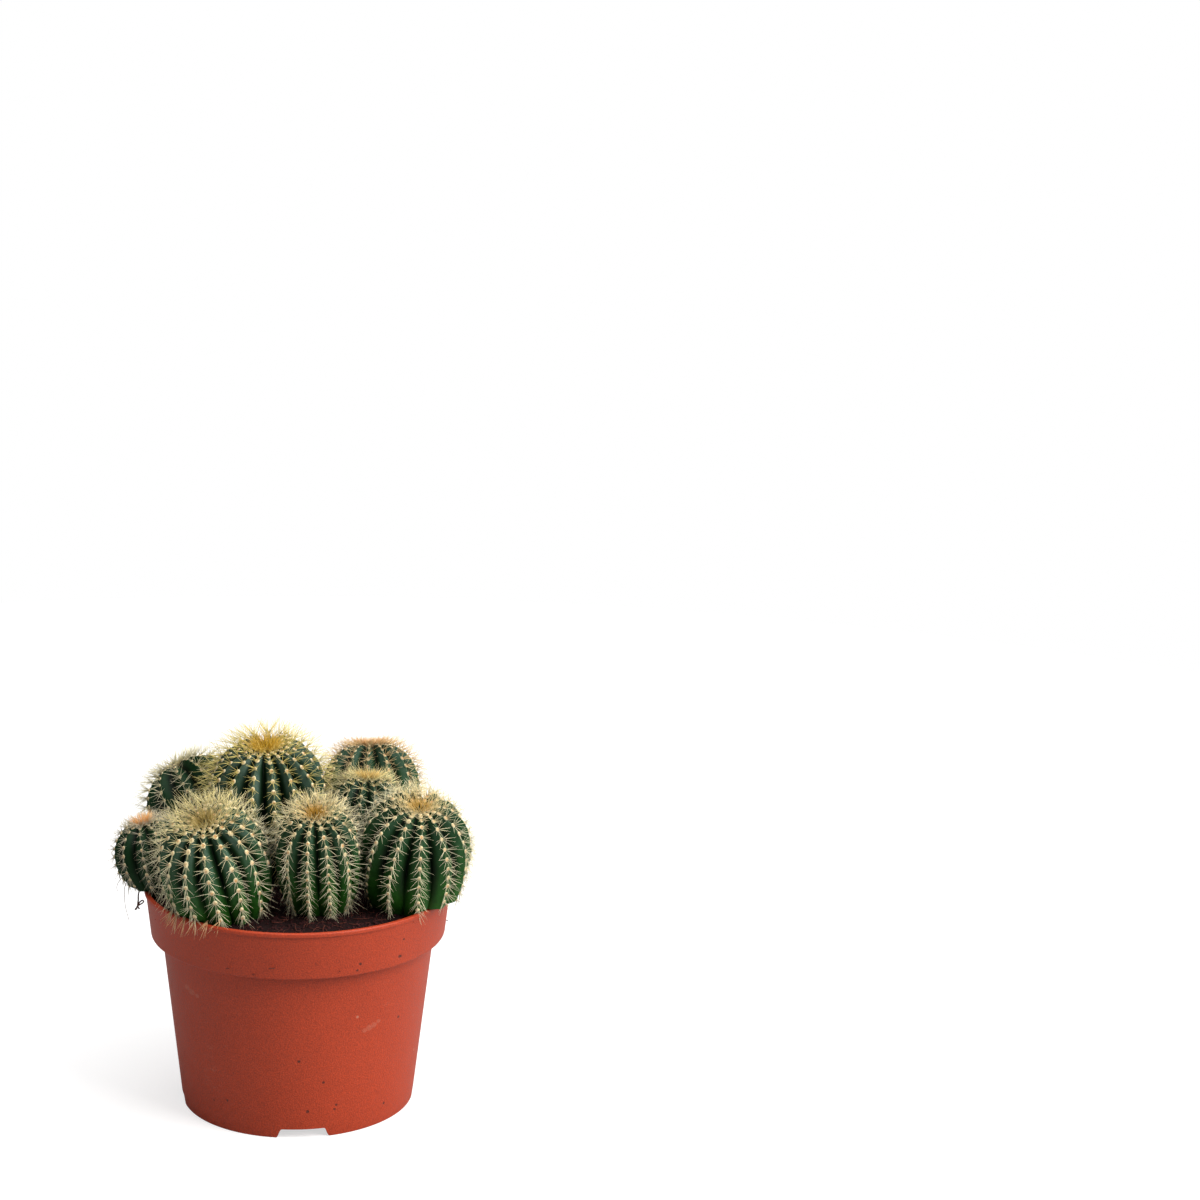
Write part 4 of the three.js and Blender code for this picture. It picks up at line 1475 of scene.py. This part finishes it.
# Outlines of (x, z), each with its radius at the start and at the end
STALKS = [
    ([(-0.0868, 0.1245), (-0.0876, 0.1214), (-0.0875, 0.119), (-0.0878, 0.1168),
      (-0.0879, 0.115), (-0.0885, 0.1139), (-0.0893, 0.1129)], 0.00036, 0.00055),
    ([(-0.088, 0.1149), (-0.0875, 0.1142), (-0.0871, 0.1133)], 0.0004, 0.0005),
    ([(-0.0877, 0.1158), (-0.0868, 0.1173), (-0.0857, 0.1183), (-0.0848, 0.1182),
      (-0.0846, 0.1174), (-0.0857, 0.1164), (-0.0868, 0.1158), (-0.0879, 0.1151)],
     0.00042, 0.00042),
]
HAIRS = [
    ([(-0.0925, 0.1305), (-0.0949, 0.1266), (-0.095, 0.1226), (-0.095, 0.1186),
      (-0.0945, 0.114), (-0.0934, 0.1097), (-0.0926, 0.1065)], 0.00021, 0.00013),
    ([(-0.096, 0.1318), (-0.0985, 0.1285), (-0.0992, 0.1258), (-0.0988, 0.1235)],
     0.00021, 0.00013),
]


def eased(path, times=2):
    """Cuts the corners of a path, which keeps its two ends."""
    for _ in range(times):
        cut = [path[0]]
        for a, b in zip(path, path[1:]):
            cut += [a.lerp(b, 0.25), a.lerp(b, 0.75)]
        path = [*cut, path[-1]]
    return path


def make_strands(name, strands, material, sides=6):
    """Thin closed tubes along outlines in the plane of the dried remains."""
    points, faces = [], []
    for outline, start, end in strands:
        path = eased([Vector((x, STALK_DEPTH, z)) for x, z in outline])
        first = len(points)
        for i, spot in enumerate(path):
            way = (path[min(i + 1, len(path) - 1)] - path[max(i - 1, 0)]).normalized()
            side = way.orthogonal().normalized()
            up = way.cross(side)
            radius = start + (end - start) * i / (len(path) - 1)
            for k in range(sides):
                angle = k * TAU / sides
                points.append(spot + radius * (math.cos(angle) * side + math.sin(angle) * up))
        last = first + (len(path) - 1) * sides
        faces += [range(first, first + sides)[::-1], range(last, last + sides)]
        faces += ring_faces(len(path), sides, first)
    made = new_object(name, points, faces)
    reworked(made, face_outwards)
    shade_smooth(made)
    made.data.materials.append(material)
    return made


# ---- The studio ----
CAMERA_PLACE = (0, -1.3699, 0.5882)
CAMERA_YAW = 6.82  # degrees towards +X
CAMERA_PITCH = 12.38  # degrees down
CAMERA_ROLL = 1.70
SENSOR_WIDTH = 36
FLOOR_SIDES = 96
WARM_WHITE = (1, 0.985, 0.96)
FLOOR_GREY = (0.4, 0.4, 0.4)  # as the object and the light see it
FLOOR_IN_VIEW = (0.45, 0.45, 0.45)
FLOOR_GLOW = 0.62  # keeps the floor in view pale and even


def make_floor():
    radius = settings().studio.floor_radius
    angles = [i * TAU / FLOOR_SIDES for i in range(FLOOR_SIDES)]
    corners = [(radius * math.cos(angle), radius * math.sin(angle), 0) for angle in angles]
    floor = new_object("floor", corners, [range(FLOOR_SIDES)])
    material, tree, shader = new_material("floor", roughness=0.9, specular_ior_level=0.0)
    is_seen = place(tree, "ShaderNodeLightPath").outputs["Is Camera Ray"]
    feed(tree, shader, {
        "Base Color": blended(tree, is_seen, rgb(FLOOR_GREY), rgb(FLOOR_IN_VIEW), "RGBA"),
        "Emission Color": (1, 1, 1, 1),
        "Emission Strength": product(tree, is_seen, FLOOR_GLOW),
    })
    floor.data.materials.append(material)


def soft_light(name, power, size, stand, tint=(1, 1, 1)):
    """A square light at a stand, turned to the middle of the object."""
    middle = Vector((0, 0, 0.12))
    data = bpy.data.lights.new(name, "AREA")
    data.energy = power
    data.size = size
    data.color = tint
    light = bpy.data.objects.new(name, data)
    light.location = stand
    light.rotation_euler = (middle - Vector(stand)).to_track_quat("-Z", "Y").to_euler()
    bpy.context.scene.collection.objects.link(light)


def make_lights():
    studio = settings().studio
    soft_light("key", studio.key, 1.2, (1.33, -0.86, 1.2), WARM_WHITE)
    soft_light("fill", studio.fill, 1.6, (-1.7, -1.0, 1.0), WARM_WHITE)
    soft_light("overhead", studio.overhead, 4, (0.4, 0.1, 2.8))


def make_world():
    studio = settings().studio
    world = bpy.data.worlds.new("surroundings")
    bpy.context.scene.world = world
    world.use_nodes = True
    tree = world.node_tree
    is_seen = place(tree, "ShaderNodeLightPath").outputs["Is Camera Ray"]
    feed(tree, tree.nodes["Background"], {
        "Color": (1, 1, 1, 1),
        "Strength": blended(tree, is_seen, studio.sky, studio.backdrop),
    })
    bpy.context.scene.view_settings.view_transform = "Standard"


def make_camera():
    data = bpy.data.cameras.new("camera")
    data.lens = settings().studio.lens
    data.sensor_width = SENSOR_WIDTH
    data.clip_start = 0.01
    data.clip_end = 50
    camera = bpy.data.objects.new("camera", data)
    bpy.context.scene.collection.objects.link(camera)
    yaw, pitch, roll = (math.radians(a) for a in (CAMERA_YAW, CAMERA_PITCH, CAMERA_ROLL))
    ahead = Vector((math.sin(yaw) * math.cos(pitch), math.cos(yaw) * math.cos(pitch),
                    -math.sin(pitch)))
    level = Vector((math.cos(yaw), -math.sin(yaw), 0))
    over = level.cross(ahead)
    right = math.cos(roll) * level + math.sin(roll) * over
    up = math.cos(roll) * over - math.sin(roll) * level
    turned = Matrix((right, up, -ahead)).transposed().to_4x4()
    camera.matrix_world = Matrix.Translation(CAMERA_PLACE) @ turned
    bpy.context.scene.camera = camera


# ---- Operators ----
class CACTUS_OT_pot(bpy.types.Operator):
    """Make the nursery pot"""

    bl_idname = "cactus.pot"
    bl_label = "Pot"

    def execute(self, context):
        shell = make_pot_shell()
        shell.data.materials.append(pot_plastic())
        finish_piece(shell, "pot_plastic", "pot")
        return {"FINISHED"}


class CACTUS_OT_soil(bpy.types.Operator):
    """Fill the pot with soil"""

    bl_idname = "cactus.soil"
    bl_label = "Soil"

    def execute(self, context):
        finish_piece(make_soil_body(), "soil", "soil")
        return {"FINISHED"}


class CACTUS_OT_heads(bpy.types.Operator):
    """Make the ribbed body of each head"""

    bl_idname = "cactus.heads"
    bl_label = "Heads"

    def execute(self, context):
        for form in FORMS:
            finish_piece(make_skin(form), "cactus_skin", f"head_{form.head.name}")
        return {"FINISHED"}


class CACTUS_OT_areoles(bpy.types.Operator):
    """Set a felt pad on each areole"""

    bl_idname = "cactus.areoles"
    bl_label = "Areoles"

    def execute(self, context):
        look = context.scene.potted_cactus.spines
        tree = pad_tree()
        for place_in_clump, form in enumerate(FORMS):
            pads = make_areole_points(form, f"areoles_{form.head.name}")
            width = look.pad * form.head.spacing / USUAL_SPACING
            grow(pads, tree, {"Width": width, "Seed": look.seed + 31 * place_in_clump})
            finish_piece(pads, "areole_felt")
        return {"FINISHED"}


class CACTUS_OT_spines(bpy.types.Operator):
    """Grow the spines of each areole"""

    bl_idname = "cactus.spines"
    bl_label = "Spines"

    def execute(self, context):
        look = context.scene.potted_cactus.spines
        tree = spine_tree()
        for place_in_clump, form in enumerate(FORMS):
            spines = make_areole_points(form, f"spines_{form.head.name}")
            grow(spines, tree, {
                "Spines": look.per_areole,
                "Central": look.central,
                "Thickness": look.thickness,
                "Seed": look.seed + 57 * place_in_clump,
            })
            finish_piece(spines, "cactus_spine")
        return {"FINISHED"}


class CACTUS_OT_litter(bpy.types.Operator):
    """Strew crumbs, fibres and dried remains over the soil"""

    bl_idname = "cactus.litter"
    bl_label = "Litter"

    def execute(self, context):
        soil = context.scene.potted_cactus.soil
        scatter("soil_crumbs", crumb_shape, soil_peat("peat crumbs", CRUMB_BROWN, 0.8),
                flatness=1.0, density=soil.crumbs, size=soil.crumb_size, seed=soil.seed)
        scatter("soil_fibres", fibre_shape, soil_peat("peat fibres", soil.fibre[:], 0.5),
                flatness=0.25, density=soil.fibres, size=soil.fibre_length, seed=soil.seed + 5)
        for name, strands, look in (
            ("dried_stalk", STALKS, soil_peat("dried stalk", STALK_BROWN, 0.4)),
            ("dried_hairs", HAIRS, soil_peat("dried hair", HAIR_GREY, 0.3)),
        ):
            finish_piece(make_strands(name, strands, look), "soil")
        return {"FINISHED"}


class CACTUS_OT_studio(bpy.types.Operator):
    """Set up the floor, the lights and the camera"""

    bl_idname = "cactus.studio"
    bl_label = "Studio"

    def execute(self, context):
        make_floor()
        make_lights()
        make_world()
        make_camera()
        return {"FINISHED"}


class CACTUS_PT_panel(bpy.types.Panel):
    """Lists what makes the potted cactus"""

    bl_label = "Potted cactus"
    bl_space_type = "VIEW_3D"
    bl_region_type = "UI"
    bl_category = "Cactus"

    def draw(self, context):
        for operator in OPERATORS:
            self.layout.operator(operator.bl_idname)


GROUPS = [PotSettings, SoilSettings, SkinSettings, SpineSettings, StudioSettings, CactusSettings]
OPERATORS = [
    CACTUS_OT_pot, CACTUS_OT_soil, CACTUS_OT_heads, CACTUS_OT_areoles, CACTUS_OT_spines,
    CACTUS_OT_litter, CACTUS_OT_studio,
]


def register():
    for cls in [*GROUPS, *OPERATORS, CACTUS_PT_panel]:
        bpy.utils.register_class(cls)
    bpy.types.Scene.potted_cactus = PointerProperty(type=CactusSettings)


def unregister():
    del bpy.types.Scene.potted_cactus
    for cls in reversed([*GROUPS, *OPERATORS, CACTUS_PT_panel]):
        bpy.utils.unregister_class(cls)


def main():
    register()
    bpy.ops.cactus.pot()
    bpy.ops.cactus.soil()
    bpy.ops.cactus.heads()
    bpy.ops.cactus.areoles()
    bpy.ops.cactus.spines()
    bpy.ops.cactus.litter()
    bpy.ops.cactus.studio()


if __name__ == "__main__":
    main()
